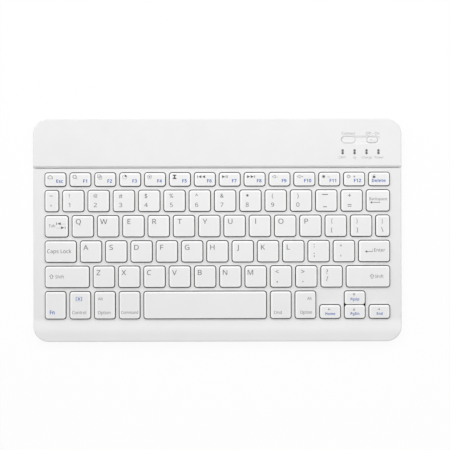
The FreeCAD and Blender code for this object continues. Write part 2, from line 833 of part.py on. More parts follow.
def make_key_works(keys):
    """The scissor frames, domes and stabilizer bars under all the keys."""
    outers, inners, domes, bars = [], [], [], []
    unit, room = number("unit_cap"), number("scissor_room")
    unit_cavity = number("unit_cap - 2 * cap_wall")
    for key in keys:
        across, along = key.cavity()
        sideways = along < across and along < unit_cavity - room
        width = min(across, along, unit_cavity) - 2 * room
        outer, inner, clear = scissor_pair(width)
        dome = dome_shape(min(number("dome_radius"), clear / 2 - number("dome_room")))
        size = number(key.width)
        shifts = (-size / 4, size / 4) if size > TWO_PAIRS_FROM * unit else (0,)
        turn = Rotation(Vector(0, 0, 1), 90 if sideways else 0)
        height = number("(cap_under + membrane_top) / 2")
        for shift in shifts:
            place = Vector(number(key.x) + shift, number(key.y), 0)
            for frames, frame in ((outers, outer), (inners, inner)):
                frames.append(frame.transformed(
                    Placement(place + Vector(0, 0, height), turn).toMatrix(), copy=True))
            domes.append(dome.translated(place))
        if size > BAR_FROM * unit:
            bar = stabilizer_shape(across, along)
            bars.append(bar.translated(Vector(number(key.x), number(key.y), 0)))
    nodes = {"scissor_outer_frames": outers, "scissor_inner_frames": inners,
             "rubber_domes": domes, "stabilizer_bars": bars}
    for label, shapes in nodes.items():
        feature = doc.addObject("Part::Feature", label)
        feature.Shape = Part.makeCompound(shapes)
        subpart(feature, label)


def make_controls():
    """The push button and the slider on the strip, each held under the roof by a flange."""
    face, flange = "strip_top - control_sink", ("flange_bottom", "flange_top")
    edge = "2 * button_flange"
    cap = slot("button_cap", "button_x", "control_y", ("flange_bottom", face),
               "button_length", "button_width")
    collar = slot("button_collar", "button_x", "control_y", flange,
                  f"button_length + {edge}", f"button_width + {edge}")
    subpart(fuse("connect_button", [cap, collar]), "connect_button")
    base = "strip_top - control_recess + control_sink"
    thumb = slot("slider_cap", "slider_x", "control_y", (base, face), "slider_length", "slider_width")
    inset = "2 * slider_collar_inset"
    stem = block("slider_stem", middle("slider_x", "slider_stem_length"),
                 middle("control_y", "slider_stem_width"), ("channel_floor + stem_clearance", face))
    collar = block("slider_collar", middle("slider_x", f"slider_length - {inset}"),
                   middle("control_y", f"slider_width - {inset}"), flange)
    subpart(fuse("power_slider", [thumb, stem, collar]), "power_slider")


def make_light_pipes():
    """Four clear windows in the strip, which stand on one bar under its roof."""
    edge = "2 * light_bar_edge"
    xs = lights()
    bar = block("light_bar", (f"{xs[-1]} - light_width / 2 - light_bar_edge",
                              f"{xs[0]} + light_width / 2 + light_bar_edge"),
                middle("light_y", f"light_length + {edge}"), ("flange_bottom", "flange_top"))
    pipes = [
        block("light_pipe", middle(x, "light_width"), middle("light_y", "light_length"),
              ("flange_bottom", "strip_top"))
        for x in xs
    ]
    subpart(fuse("light_pipes", [bar, *pipes]), "light_pipes")


def make_socket():
    """The charging socket: a metal shell, and the tongue inside it."""
    back = "port_mouth - socket_length"
    shell = block("socket_outside", (back, "port_mouth"), middle("port_y", "socket_width"),
                  middle("port_z", "socket_height"))
    root = f"{back} + socket_skin"
    inside = block("socket_inside", (root, "port_mouth + overcut"),
                   middle("port_y", "socket_width - 2 * socket_skin"),
                   middle("port_z", "socket_height - 2 * socket_skin"))
    tongue = block("socket_tongue", (root, f"{root} + tongue_length"), middle("port_y", "tongue_width"),
                   middle("port_z", "tongue_thickness"))
    subpart(group("usb_socket", [cut("socket_shell", shell, [inside]), tongue]), "usb_socket")


def on_board(name, x, y, length, depth, height):
    """A component that stands on the board, about a place."""
    return block(name, middle(x, length), middle(y, depth), ("board_top", f"board_top + {height}"))


def make_electronics():
    """The circuit board, what is on it, and its two switches."""
    board = block("circuit_board", ("board_left", "board_right"), ("board_front", "board_rear"),
                  ("board_bottom", "board_top"))
    subpart(board, "circuit_board")
    inner = "board_left + plug_length + radio_length"
    plug_x = "plug_left + plug_length / 2"
    components = [
        on_board("main_chip", inner, "control_y - chip_side", "chip_side", "chip_side", "chip_height"),
        on_board("radio", inner, "control_y + radio_depth / 2", "radio_length", "radio_depth",
                 "radio_height"),
        on_board("crystal", f"{inner} - chip_side", "control_y - chip_side", "crystal_length",
                 "crystal_depth", "crystal_height"),
        on_board("lead_plug", plug_x, "plug_y", "plug_length", "plug_depth", "plug_height"),
    ]
    components += [
        on_board("lamp", x, "light_y", "lamp_width", "lamp_length", "lamp_height") for x in lights()
    ]
    subpart(group("board_components", components), "board_components")
    tact = on_board("tact_body", "button_x", "control_y", "tact_side", "tact_side",
                    "tact_top - board_top")
    plunger = cylinder("tact_plunger", "button_x", "control_y", ("tact_top", "plunger_top"),
                       "plunger_radius")
    subpart(group("connect_switch", [tact, plunger]), "connect_switch")
    middle_x = "slider_x - slider_travel / 2"
    switch = on_board("switch_body", middle_x, "control_y", "switch_length", "switch_width",
                      "switch_top - board_top")
    channel = block("channel", middle(middle_x, "switch_length + 2 * overcut"),
                    middle("control_y", "slider_stem_width + 2 * control_clearance"),
                    ("channel_floor", "switch_top + overcut"))
    subpart(cut("power_switch", switch, [channel]), "power_switch")


def make_battery():
    """The pouch cell, the tape strips under it, and the two leads to the plug on the board."""
    cell = new_body("cell")
    across, along = ("battery_left", "battery_right"), ("battery_front", "battery_rear")
    pad(cell, rectangle(cell, "cell_plan", across, along, "battery_base"), "battery_top - battery_base")
    dress(cell, "Fillet", upright, Radius="battery_round")
    subpart(cell, "battery")
    height = ("floor_top", "battery_base")
    strips = [
        block("tape_strip", middle(f"{end} {side} tape_width", "tape_width"), along, height)
        for end, side in (("battery_left", "+"), ("battery_right", "-"))
    ]
    subpart(group("battery_tape", strips), "battery_tape")
    start, end = number("battery_right"), number("plug_left")
    y, z, radius = number("battery_y"), number("board_top + plug_height / 2"), number("lead_radius")
    leads = []
    for side in (-1, 1):
        near = y + side * number("lead_spacing") / 2
        far = near - number("lead_sag")
        turns = (near, near, far, far, near, near)
        run = (end - start) / (len(turns) - 1)
        route = [Vector(start + i * run, turn, z) for i, turn in enumerate(turns)]
        section = Part.Wire(Part.makeCircle(radius, route[0], Vector(1, 0, 0)))
        leads.append(rounded_path(route).makePipeShell([section], True, True))
    feature = doc.addObject("Part::Feature", "battery_leads")
    feature.Shape = Part.makeCompound(leads)
    subpart(feature, "battery_leads")


def check():
    """Stops if any object failed, or a piece has no sound solid."""
    failed = [o.Name for o in doc.Objects if {"Invalid", "Error"} & set(o.State)]
    if failed:
        raise RuntimeError(f"failed objects: {failed}")
    for obj in subparts:
        if obj.Shape.isNull() or not obj.Shape.isValid() or not obj.Shape.Solids:
            raise RuntimeError(f"{obj.Label} has no sound solid")


def write():
    """Writes each piece to its own file."""
    os.makedirs("parts", exist_ok=True)
    for obj in subparts:
        obj.Shape.exportStep(f"parts/{obj.Label}.step")
    print(f"{len(subparts)} pieces, {sum(len(o.Shape.Solids) for o in subparts)} solids")


def main():
    """Builds the keyboard and writes its pieces."""
    fill_sheet()
    keys = all_keys()
    make_bottom_cover()
    make_rear_cover()
    make_key_deck(keys)
    make_front_rail()
    make_fasteners_and_feet()
    make_plate_and_membrane()
    make_key_works(keys)
    make_controls()
    make_light_pipes()
    make_socket()
    make_electronics()
    make_battery()
    make_caps(keys)
    doc.recompute()
    check()
    write()


main()
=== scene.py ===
"""Looks of a slim white tablet keyboard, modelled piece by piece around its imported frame."""

import logging
import math
from dataclasses import dataclass
from enum import Enum
from typing import Callable

import bpy
from mathutils import Matrix, Vector


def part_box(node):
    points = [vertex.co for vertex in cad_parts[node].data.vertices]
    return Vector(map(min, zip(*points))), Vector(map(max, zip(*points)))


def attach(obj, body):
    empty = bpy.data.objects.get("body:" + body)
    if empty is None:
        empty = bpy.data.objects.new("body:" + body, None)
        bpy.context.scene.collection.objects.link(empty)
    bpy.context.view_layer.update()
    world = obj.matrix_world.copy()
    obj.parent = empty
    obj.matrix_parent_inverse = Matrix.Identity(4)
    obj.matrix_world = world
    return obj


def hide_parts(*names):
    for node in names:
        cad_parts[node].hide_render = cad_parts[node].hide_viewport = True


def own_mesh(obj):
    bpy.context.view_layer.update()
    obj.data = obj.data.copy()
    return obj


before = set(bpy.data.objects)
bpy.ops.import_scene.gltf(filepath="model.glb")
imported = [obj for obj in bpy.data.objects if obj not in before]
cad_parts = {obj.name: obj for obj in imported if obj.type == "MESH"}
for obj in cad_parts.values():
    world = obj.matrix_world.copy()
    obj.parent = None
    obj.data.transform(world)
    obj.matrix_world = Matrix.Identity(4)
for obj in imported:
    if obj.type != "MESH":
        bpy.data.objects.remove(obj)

LOG = logging.getLogger("tablet_keyboard")
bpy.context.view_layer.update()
CASE = "case"
MM = 0.001

# Places closer than NEAR are the same, and a normal that rises more than LEVEL is upright
NEAR = 1e-6
LEVEL = 0.999

# Ways to turn what is modelled upside down, and what is modelled along Z to face right
TURNED_OVER = Matrix.Rotation(math.pi, 4, "X")
ALONG_X = Matrix(((0, 0, 1, 0), (1, 0, 0, 0), (0, 1, 0, 0), (0, 0, 0, 1)))

# Sizes that both covers of the case share
BODY_CORNER = 10.5 * MM
BODY_STEPS = 16
BODY_CREASE = 38.0
SEAM = 0.12 * MM
SUPPORT = 0.35 * MM


class Element(Enum):
    """What a selection holds, as Blender's select modes."""

    POINTS = (True, False, False)
    FACES = (False, False, True)


class Align(Enum):
    """Which edge of a key a printed legend is measured from."""

    LEFT = 0.0
    MIDDLE = 0.5
    RIGHT = 1.0


class Axis(Enum):
    """The direction that a cut is square to."""

    Y = (0, 1, 0)
    Z = (0, 0, 1)


def take_up(*pieces: bpy.types.Object) -> None:
    """Select some pieces alone.

    Args:
        pieces: the pieces, the last of which becomes the active one.
    """
    bpy.ops.object.select_all(action="DESELECT")
    for piece in pieces:
        piece.select_set(True)
        bpy.context.view_layer.objects.active = piece


def extent(piece: bpy.types.Object) -> tuple[Vector, Vector]:
    """Measure a mesh.

    Args:
        piece: a mesh object at the origin.

    Returns:
        Its lowest and its highest corner.
    """
    places = [vertex.co for vertex in piece.data.vertices]
    low = Vector(min(place[axis] for place in places) for axis in range(3))
    high = Vector(max(place[axis] for place in places) for axis in range(3))
    return low, high


def joined(pieces: list[bpy.types.Object], name: str) -> bpy.types.Object:
    """Join pieces into the first of them.

    Args:
        pieces: mesh objects, the first of which is kept.
        name: the name of the whole.

    Returns:
        The one object that holds all their meshes.
    """
    take_up(*reversed(pieces))
    if len(pieces) > 1:
        bpy.ops.object.join()
    pieces[0].name = name
    return pieces[0]


class Bench:
    """One mesh under the modelling tools, each of which opens edit mode, works and closes it."""

    def __init__(self, piece: bpy.types.Object) -> None:
        """Take a piece up alone."""
        self.piece = piece
        take_up(piece)

    @classmethod
    def plate(cls, name: str, low: Vector, high: Vector, corner: float = 0.0, steps: int = 6) -> "Bench":
        """Start a closed block with round upright corners.

        Args:
            name: the name of the new object.
            low: its lowest corner.
            high: its highest corner.
            corner: radius of its upright corners, or 0 for sharp ones.
            steps: facets in each round corner.

        Returns:
            The bench that holds it, with its upper face selected.
        """
        bpy.ops.object.select_all(action="DESELECT")
        middle = (low + high) / 2
        bpy.ops.mesh.primitive_plane_add(size=1, location=(middle.x, middle.y, low.z))
        piece = bpy.context.active_object
        piece.name = name
        piece.scale = (high.x - low.x, high.y - low.y, 1)
        bpy.ops.object.transform_apply(location=True, rotation=True, scale=True)
        bench = cls(piece).everything()
        if corner:
            bench.do(bpy.ops.mesh.bevel, offset=corner, segments=steps, affect="VERTICES")
        return bench.pick(Element.FACES, lambda at, normal: True).lift(high.z - low.z)

    @classmethod
    def disc(cls, name: str, middle: Vector, radius: float, height: float, sides: int = 32) -> "Bench":
        """Start an upright round block.

        Args:
            name: the name of the new object.
            middle: the middle of its lower face.
            radius: its radius.
            height: its height.
            sides: facets round it.

        Returns:
            The bench that holds it, with its upper face selected.
        """
        bpy.ops.object.select_all(action="DESELECT")
        bpy.ops.mesh.primitive_circle_add(vertices=sides, radius=radius, fill_type="NGON", location=middle)
        piece = bpy.context.active_object
        piece.name = name
        bpy.ops.object.transform_apply(location=True, rotation=True, scale=True)
        return cls(piece).pick(Element.FACES, lambda at, normal: True).lift(height)

    def pick(self, element: Element, test: Callable[[Vector, Vector], bool]) -> "Bench":
        """Select by place and direction.

        Args:
            element: what to select.
            test: says whether an element counts, from its middle and its normal.

        Returns:
            This bench.
        """
        mesh = self.piece.data
        bpy.context.tool_settings.mesh_select_mode = element.value
        for group in (mesh.vertices, mesh.edges, mesh.polygons):
            group.foreach_set("select", [False] * len(group))
        if element is Element.FACES:
            for face in mesh.polygons:
                face.select = test(face.center, face.normal)
        else:
            for vertex in mesh.vertices:
                vertex.select = test(vertex.co, vertex.normal)
        return self

    def do(self, operator: Callable, **settings: object) -> "Bench":
        """Run one edit-mode operator on what is selected.

        Args:
            operator: the operator.
            settings: its settings.

        Returns:
            This bench.
        """
        bpy.ops.object.mode_set(mode="EDIT")
        operator(**settings)
        bpy.ops.object.mode_set(mode="OBJECT")
        return self

    def everything(self) -> "Bench":
        """Select the whole mesh."""
        return self.do(bpy.ops.mesh.select_all, action="SELECT")

    def lift(self, height: float) -> "Bench":
        """Extrude the selected face upwards."""
        return self.do(bpy.ops.mesh.extrude_region_move, TRANSFORM_OT_translate={"value": (0, 0, height)})

    def step_in(self, inset: float, rise: float = 0.0) -> "Bench":
        """Inset the selected face, and raise the inner one by rise along its normal."""
        return self.do(bpy.ops.mesh.inset, thickness=inset, depth=rise)

    def round_over(self, radius: float, steps: int = 5) -> "Bench":
        """Round the rim of the selected face by a quarter circle that rises from the wall under it.

        Args:
            radius: the radius of the quarter circle.
            steps: facets along it.

        Returns:
            This bench, with the face inside the rim selected.
        """
        turns = [math.pi / 2 * i / steps for i in range(steps + 1)]
        for start, end in zip(turns, turns[1:]):
            inset = radius * (math.cos(start) - math.cos(end))
            self.step_in(inset, radius * (math.sin(end) - math.sin(start)))
        return self

    def slice(self, place: float, axis: Axis) -> "Bench":
        """Score the mesh along a plane.

        Args:
            place: where the plane crosses the axis.
            axis: the axis that it is square to.

        Returns:
            This bench.
        """
        square = Vector(axis.value)
        self.everything()
        return self.do(bpy.ops.mesh.bisect, plane_co=square * place, plane_no=square, use_fill=False)

    def face_out(self) -> "Bench":
        """Merge what coincides and turn every face outwards."""
        self.everything().do(bpy.ops.mesh.remove_doubles, threshold=NEAR)
        return self.everything().do(bpy.ops.mesh.normals_make_consistent, inside=False)

    def drop(self, test: Callable[[Vector, Vector], bool]) -> "Bench":
        """Delete the faces that pass a test of their middle and normal."""
        return self.pick(Element.FACES, test).do(bpy.ops.mesh.delete, type="FACE")

    def modify(self, kind: str, **settings: object) -> "Bench":
        """Add a modifier and apply it.

        Args:
            kind: Blender's name for its kind.
            settings: its settings.

        Returns:
            This bench.
        """
        take_up(self.piece)
        modifier = self.piece.modifiers.new(kind.title(), kind)
        for name, value in settings.items():
            setattr(modifier, name, value)
        bpy.ops.object.modifier_apply(modifier=modifier.name)
        return self

    def cut(self, *tools: bpy.types.Object) -> "Bench":
        """Cut the shapes of other meshes out of this one.

        Args:
            tools: the other meshes, which are removed.

        Returns:
            This bench.
        """
        for tool in tools:
            self.modify("BOOLEAN", operation="DIFFERENCE", solver="MANIFOLD", object=tool)
            bpy.data.objects.remove(tool)
        return self

    def move(self, matrix: Matrix) -> "Bench":
        """Move the mesh itself, so that its object stays at the origin."""
        self.piece.data.transform(matrix)
        return self

    def dress(self, *finishes: "Finish") -> "Bench":
        """Give the mesh its finishes.

        Args:
            finishes: the finishes, the first of which is on every face.

        Returns:
            This bench.
        """
        self.piece.data.materials.clear()
        for finish in finishes:
            self.piece.data.materials.append(finish.material())
        return self

    def paint(self, slot: int, test: Callable[[Vector, Vector], bool]) -> "Bench":
        """Give some faces another of the mesh's finishes.

        Args:
            slot: the number of that finish.
            test: says whether a face counts, from its middle and its normal.

        Returns:
            This bench.
        """
        for face in self.piece.data.polygons:
            if test(face.center, face.normal):
                face.material_index = slot
        return self

    def smooth(self, degrees: float = 35.0) -> bpy.types.Object:
        """Shade smooth across every edge that turns by less than an angle.

        Args:
            degrees: the angle.

        Returns:
            The finished piece.
        """
        take_up(self.piece)
        bpy.ops.object.shade_smooth_by_angle(angle=math.radians(degrees))
        return self.piece


def stretched(master: bpy.types.Object, name: str, low: Vector, high: Vector) -> bpy.types.Object:
    """Copy a piece and draw its halves apart until it fills a plan, so that its corners keep their shape.

    Args:
        master: the piece that is copied.
        name: the name of the copy.
        low: the lowest corner of the plan.
        high: the highest corner of the plan.

    Returns:
        The copy, with a mesh of its own.
    """
    piece = bpy.data.objects.new(name, master.data.copy())
    bpy.context.scene.collection.objects.link(piece)
    old_low, old_high = extent(master)
    for vertex in piece.data.vertices:
        for axis in (0, 1):
            old = (old_low[axis] + old_high[axis]) / 2
            growth = ((high[axis] - low[axis]) - (old_high[axis] - old_low[axis])) / 2
            away = vertex.co[axis] - old
            vertex.co[axis] = (low[axis] + high[axis]) / 2 + away + growth * math.copysign(1, away)
    return piece


def loose_parts(node: str) -> list[bpy.types.Object]:
    """Copy a node of the frame as one mesh for each of its solids.

    Args:
        node: the name of the node.

    Returns:
        The copies.
    """
    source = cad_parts[node]
    copy = bpy.data.objects.new(node + "_part", source.data.copy())
    bpy.context.scene.collection.objects.link(copy)
    Bench(copy).everything().do(bpy.ops.mesh.remove_doubles, threshold=NEAR)
    take_up(copy)
    bpy.ops.mesh.separate(type="LOOSE")
    return list(bpy.context.selected_objects)


def keep(piece: bpy.types.Object, body: str, slot: str, *nodes: str) -> None:
    """Parent a finished piece to the empty of its body, and hide the nodes that it stands for.

    Args:
        piece: the piece.
        body: the body that it moves with.
        slot: not used.
        nodes: the nodes that it stands for.
    """
    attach(piece, body)
    if nodes:
        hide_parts(*nodes)
    LOG.info("%s rides on %s with %d faces", piece.name, body, len(piece.data.polygons))


@dataclass(frozen=True)
class Finish:
    """A moulded, rolled or printed surface: its colour drifts a little and its grain is in relief.

    Attributes:
        name: the surface that it is for. Its material has a name of its own, apart from the frame's.
        colour: its linear colour.
        roughness: the middle of its roughness.
        metallic: 1 for bare metal.
        specular: how strongly it mirrors light beside its own colour, 0.5 for bare plastic.
        grain: the size of its grain, in metres.
        relief: the height of its grain, in metres.
        drift: the share by which its colour drifts to either side.
        patch: the size of the patches in which its colour drifts, in metres.
        stretch: how finely the grain runs along X, Y and Z, for rolled or drawn metal.
        TONE_STOPS: where on its noise the drift of the colour starts and ends.
        TONE_DETAIL: finer layers of that noise.
        GRAIN_DETAIL: finer layers of the grain.
        POLISH_SPREAD: how far the roughness strays to either side.
    """

    name: str
    colour: tuple[float, float, float]
    roughness: float = 0.45
    metallic: float = 0.0
    specular: float = 0.5
    grain: float = 0.25 * MM
    relief: float = 0.004 * MM
    drift: float = 0.012
    patch: float = 14.0 * MM
    stretch: tuple[float, float, float] = (1.0, 1.0, 1.0)

    TONE_STOPS = (0.3, 0.7)
    TONE_DETAIL = 3.0
    GRAIN_DETAIL = 2.0
    POLISH_SPREAD = 0.08

    def material(self) -> bpy.types.Material:
        """Make the material, or find it if it is made.

        Returns:
            The material.
        """
        name = f"{self.name}_finish"
        known = bpy.data.materials.get(name)
        if known:
            return known
        material = bpy.data.materials.new(name)
        material.use_nodes = True
        nodes, links = material.node_tree.nodes, material.node_tree.links
        shader = nodes["Principled BSDF"]
        shader.inputs["Metallic"].default_value = self.metallic
        shader.inputs["Specular IOR Level"].default_value = self.specular
        place = nodes.new("ShaderNodeTexCoord")
        mapping = nodes.new("ShaderNodeMapping")
        mapping.inputs["Scale"].default_value = self.stretch
        links.new(place.outputs["Object"], mapping.inputs["Vector"])

        def noise(size: float, detail: float) -> bpy.types.NodeSocket:
            """Add a noise.

            Args:
                size: the size of its patches, in metres.
                detail: how many finer layers it has.

            Returns:
                The socket of its height.
            """
            node = nodes.new("ShaderNodeTexNoise")
            node.inputs["Scale"].default_value = 1 / size
            node.inputs["Detail"].default_value = detail
            links.new(mapping.outputs["Vector"], node.inputs["Vector"])
            return node.outputs[0]

        tone = nodes.new("ShaderNodeValToRGB")
        for stop, position, sign in zip(tone.color_ramp.elements, self.TONE_STOPS, (-1, 1)):
            stop.position = position
            stop.color = [min(1, share * (1 + sign * self.drift)) for share in self.colour] + [1]
        links.new(noise(self.patch, self.TONE_DETAIL), tone.inputs["Fac"])
        links.new(tone.outputs["Color"], shader.inputs["Base Color"])
        grain = noise(self.grain, self.GRAIN_DETAIL)
        polish = nodes.new("ShaderNodeMapRange")
        polish.inputs["To Min"].default_value = self.roughness - self.POLISH_SPREAD
        polish.inputs["To Max"].default_value = self.roughness + self.POLISH_SPREAD
        links.new(grain, polish.inputs["Value"])
        links.new(polish.outputs["Result"], shader.inputs["Roughness"])
        bump = nodes.new("ShaderNodeBump")
        bump.inputs["Distance"].default_value = self.relief
        links.new(grain, bump.inputs["Height"])
        links.new(bump.outputs["Normal"], shader.inputs["Normal"])
        return material


def printing_ink(name: str, colour: tuple[float, float, float]) -> Finish:
    """A printed ink: matt, fine in its grain and a little uneven."""
    return Finish(name, colour, roughness=0.6, grain=0.08 * MM, drift=0.08, patch=1 * MM)


SHELL = Finish("shell_white", (0.81, 0.81, 0.81), roughness=0.56, specular=0.4)
KEYCAP = Finish("keycap_white", (0.825, 0.825, 0.825), roughness=0.48, grain=0.18 * MM)
# Lighter white of the keycaps' sloped rims: a painted highlight.
KEYCAP_RIM_PAINTED_HIGHLIGHT = Finish("keycap_rim_painted_highlight", (0.93, 0.93, 0.93), roughness=0.26, grain=0.18 * MM, relief=0.001 * MM)
CONTROL = Finish("control_white", (0.81, 0.81, 0.81), roughness=0.38, grain=0.18 * MM)
GREY_INK = printing_ink("grey_ink", (0.075, 0.075, 0.08))
BLUE_INK = printing_ink("blue_ink", (0.003, 0.085, 0.40))
MARK_INK = printing_ink("mark_ink", (0.28, 0.28, 0.285))
SMOKED = Finish("light_window", (0.09, 0.09, 0.093), roughness=0.35, grain=0.5 * MM, relief=0.001 * MM)
# Grey of the lights' waists and the slider's rib; on the floor of the slider's groove it is painted shade.
GREY_BAND_AND_PAINTED_SHADE = Finish("grey_band_and_painted_shade", (0.42, 0.42, 0.43), roughness=0.4, grain=0.2 * MM)
RUBBER = Finish("foot_rubber", (0.50, 0.50, 0.51), roughness=0.75, grain=0.15 * MM, relief=0.012 * MM)
SCREW = Finish("screw_steel", (0.52, 0.52, 0.53), roughness=0.3, metallic=1.0, grain=0.1 * MM)
PLATE = Finish("plate_steel", (0.02, 0.02, 0.022), roughness=0.8, specular=0.1, stretch=(0.1, 1, 1))
FILM = Finish("film", (0.03, 0.031, 0.034), roughness=0.55, specular=0.2, patch=6 * MM)
PAD = Finish("pad_rubber", (0.05, 0.05, 0.05), roughness=0.85, relief=0.02 * MM)
DOME = Finish("dome_rubber", (0.62, 0.63, 0.64), roughness=0.5, grain=0.3 * MM)
SCISSOR = Finish("frame_plastic", (0.30, 0.30, 0.31), roughness=0.45, grain=0.2 * MM)
WIRE = Finish("bar_steel", (0.48, 0.48, 0.49), roughness=0.28, metallic=1.0, stretch=(0.1, 1, 1))
BOARD = Finish("board", (0.015, 0.13, 0.05), roughness=0.35, patch=2 * MM, drift=0.25)
CHIP = Finish("component", (0.03, 0.03, 0.032), roughness=0.5, grain=0.1 * MM, patch=1 * MM, drift=0.2)
SOCKET = Finish("socket_steel", (0.60, 0.60, 0.61), roughness=0.26, metallic=1.0, stretch=(0.1, 1, 1))
TONGUE = Finish("tongue_plastic", (0.02, 0.02, 0.022), roughness=0.45)
CONTACT = Finish("contact_gold", (0.75, 0.52, 0.20), roughness=0.25, metallic=1.0, grain=0.05 * MM)
FOIL = Finish("cell_foil", (0.62, 0.62, 0.63), roughness=0.38, metallic=0.8, relief=0.03 * MM, grain=2 * MM)
TAPE = Finish("tape", (0.55, 0.36, 0.07), roughness=0.4, patch=3 * MM, drift=0.08)
LEAD = Finish("lead_cover", (0.40, 0.02, 0.02), roughness=0.5)
SWITCH = Finish("switch_plastic", (0.04, 0.04, 0.042), roughness=0.5)


def rounded_line(corners: list[tuple[Vector, float]], steps: int) -> list[Vector]:
    """Round the corners of a line in a plane.

    Args:
        corners: the line's points, each with the radius that it is rounded to. Its ends stay as they are.
        steps: facets in each arc.

    Returns:
        The points of the rounded line.
    """
    points = [corners[0][0]]
    for (before, _), (corner, radius), (after, _) in zip(corners, corners[1:], corners[2:]):
        back, ahead = (before - corner).normalized(), (after - corner).normalized()
        half = back.angle(ahead) / 2
        centre = corner + (back + ahead).normalized() * radius / math.sin(half)
        start = corner + back * radius / math.tan(half) - centre
        end = corner + ahead * radius / math.tan(half) - centre
        points += [centre + start.slerp(end, i / steps) * radius for i in range(steps + 1)]
    return points + [corners[-1][0]]


def plain_letters(capital: int, small: int, number: int) -> dict[int, str]:
    """Pair letters and numbers with an upright set of signs without serifs.

    Args:
        capital: the code of the set's A.
        small: the code of its a.
        number: the code of its 0.

    Returns:
        The sign of the set for the code of each letter and number.
    """
    sets = {"A": (capital, 26), "a": (small, 26), "0": (number, 10)}
    return {
        ord(first) + i: chr(start + i) for first, (start, count) in sets.items() for i in range(count)
    }


class Lettering(Enum):
    """The sets of letters and numbers that the legends are printed in."""

    PLAIN = plain_letters(0x1D5A0, 0x1D5BA, 0x1D7E2)
    BOLD = plain_letters(0x1D5D4, 0x1D5EE, 0x1D7EC)


@dataclass
class Legend:
    """One printed mark on a key, its place in millimetres.

    Attributes:
        text: what is printed.
        x: how far in from the key's edge that align names, or from the left edge for MIDDLE.
        y: how far its middle is from the key's rear edge.
        height: the height of its capitals, or of the whole mark where it is fitted.
        align: the edge that x is measured from.
        ink: its finish.
        fitted: True for a sign that is measured by its own height.
        turn: how far the sign is turned to the left, in degrees.
        widen: how much wider than usual it is drawn.
        lettering: the set of its letters.
        CAPITAL: the height of a capital in lettering of size 1.
        SLAB: the thickness of the print.
        SUNK: the share of it that is sunk into the surface.
        CURVE_STEPS: facets in each curve of a letter.
    """

    text: str
    x: float
    y: float
    height: float
    align: Align = Align.MIDDLE
    ink: Finish = GREY_INK
    fitted: bool = False
    turn: float = 0.0
    widen: float = 1.0
    lettering: Lettering = Lettering.PLAIN

    CAPITAL = 0.714
    SLAB = 0.012 * MM
    SUNK = 1 / 3
    CURVE_STEPS = 5

    def printed(self, left: float, right: float, rear: float, top: float) -> bpy.types.Object:
        """Print the legend as a thin slab on a level surface.

        Args:
            left: the left edge that its place is measured from.
            right: the right edge.
            rear: the rear edge.
            top: the height of the surface.

        Returns:
            The slab, partly sunk into the surface.
        """
        bpy.ops.object.select_all(action="DESELECT")
        bpy.ops.object.text_add(location=(0, 0, 0))
        words = bpy.context.active_object
        words.data.body = self.text.translate(self.lettering.value)
        words.data.resolution_u = self.CURVE_STEPS
        words.data.extrude = 1.0
        bpy.ops.object.convert(target="MESH")
        words = bpy.context.active_object
        words.data.transform(Matrix.Rotation(math.radians(self.turn), 4, "Z"))
        low, high = extent(words)
        tall = high.y - low.y if self.fitted else self.CAPITAL
        scale = self.height * MM / tall
        middle_y = (low.y + high.y) / 2 if self.fitted else self.CAPITAL / 2
        from_edge = right - self.x * MM if self.align is Align.RIGHT else left + self.x * MM
        anchor = low.x + (high.x - low.x) * self.align.value
        words.data.transform(
            Matrix.Translation((from_edge, rear - self.y * MM, top + self.SLAB * (0.5 - self.SUNK)))
            @ Matrix.Diagonal((scale * self.widen, scale, self.SLAB / 2, 1))
            @ Matrix.Translation((-anchor, -middle_y, 0))
        )
        return Bench(words).dress(self.ink).face_out().piece


@dataclass
class KeyPlace:
    """A keycap's place and what is printed on it.

    Attributes:
        name: the name of the piece.
        node: the frame's node that it is part of, and the body that it moves with.
        low: the lowest corner of its box.
        high: the highest corner of its box.
        legends: what is printed on it.
    """

    name: str
    node: str
    low: Vector
    high: Vector
    legends: list[Legend]


# Where the letters of each row stand, in millimetres from the left and the rear edge of their keys
LETTER_ROWS = {"QWERTYUIOP": (4.05, 3.85), "ASDFGHJKL": (3.55, 4.2), "ZXCVBNM": (3.35, 4.15)}


def letter(text: str) -> list[Legend]:
    """The legend of a letter key, on which the I is a bare bar."""
    x, y = next(place for row, place in LETTER_ROWS.items() if text in row)
    return [Legend("l" if text == "I" else text, x, y, height=3.3, widen=1.12)]


def pair(
    upper: str,
    lower: str,
    x: float = 4.8,
    heights: tuple[float, float] = (2.8, 2.8),
    rows: tuple[float, float] = (3.5, 9.7),
) -> list[Legend]:
    """Lay out a number or punctuation key.

    Args:
        upper: the shifted sign.
        lower: the plain sign.
        x: how far their middles are from the key's left edge, in millimetres.
        heights: the heights of the two.
        rows: how far their middles are from its rear edge.

    Returns:
        The two legends.
    """
    return [Legend(upper, x, rows[0], heights[0]), Legend(lower, x, rows[1], heights[1], widen=1.1)]


def function(
    sign: str, label: str, height: float = 3.0, edge: float = 2.2, turn: float = 0.0, widen: float = 1.0
) -> list[Legend]:
    """Lay out a function key: a sign at its upper left and a blue label at its lower right.

    Args:
        sign: the sign.
        label: the label.
        height: the height of the sign, in millimetres.
        edge: how far the label ends from the key's right edge.
        turn: how far the sign is turned to the left, in degrees.
        widen: how much wider than usual the sign is drawn.

    Returns:
        The two legends.
    """
    bold = Lettering.BOLD
    return [
        Legend(sign, 1.7, 2.6, height, Align.LEFT, fitted=True, turn=turn, widen=widen, lettering=bold),
        Legend(label, edge, 5.35, 2.2, Align.RIGHT, BLUE_INK, lettering=bold),
    ]


def arrow(label: str, y: float, turn: float) -> list[Legend]:
    """Lay out an arrow key: its arrow over a blue label.

    Args:
        label: the label.
        y: how far the arrow's middle is from the key's rear edge, in millimetres.
        turn: how far the arrow is turned to the left from pointing right, in degrees.

    Returns:
        The two legends.
    """
    upright, lying, label_below = 2.1, 1.3, 2.95
    height = upright if turn % 180 else lying
    return [
        Legend("➔", 6.2, y, height, fitted=True, turn=turn),
        Legend(label, 6.8, y + label_below, 1.75, ink=BLUE_INK, lettering=Lettering.BOLD, widen=0.95),
    ]


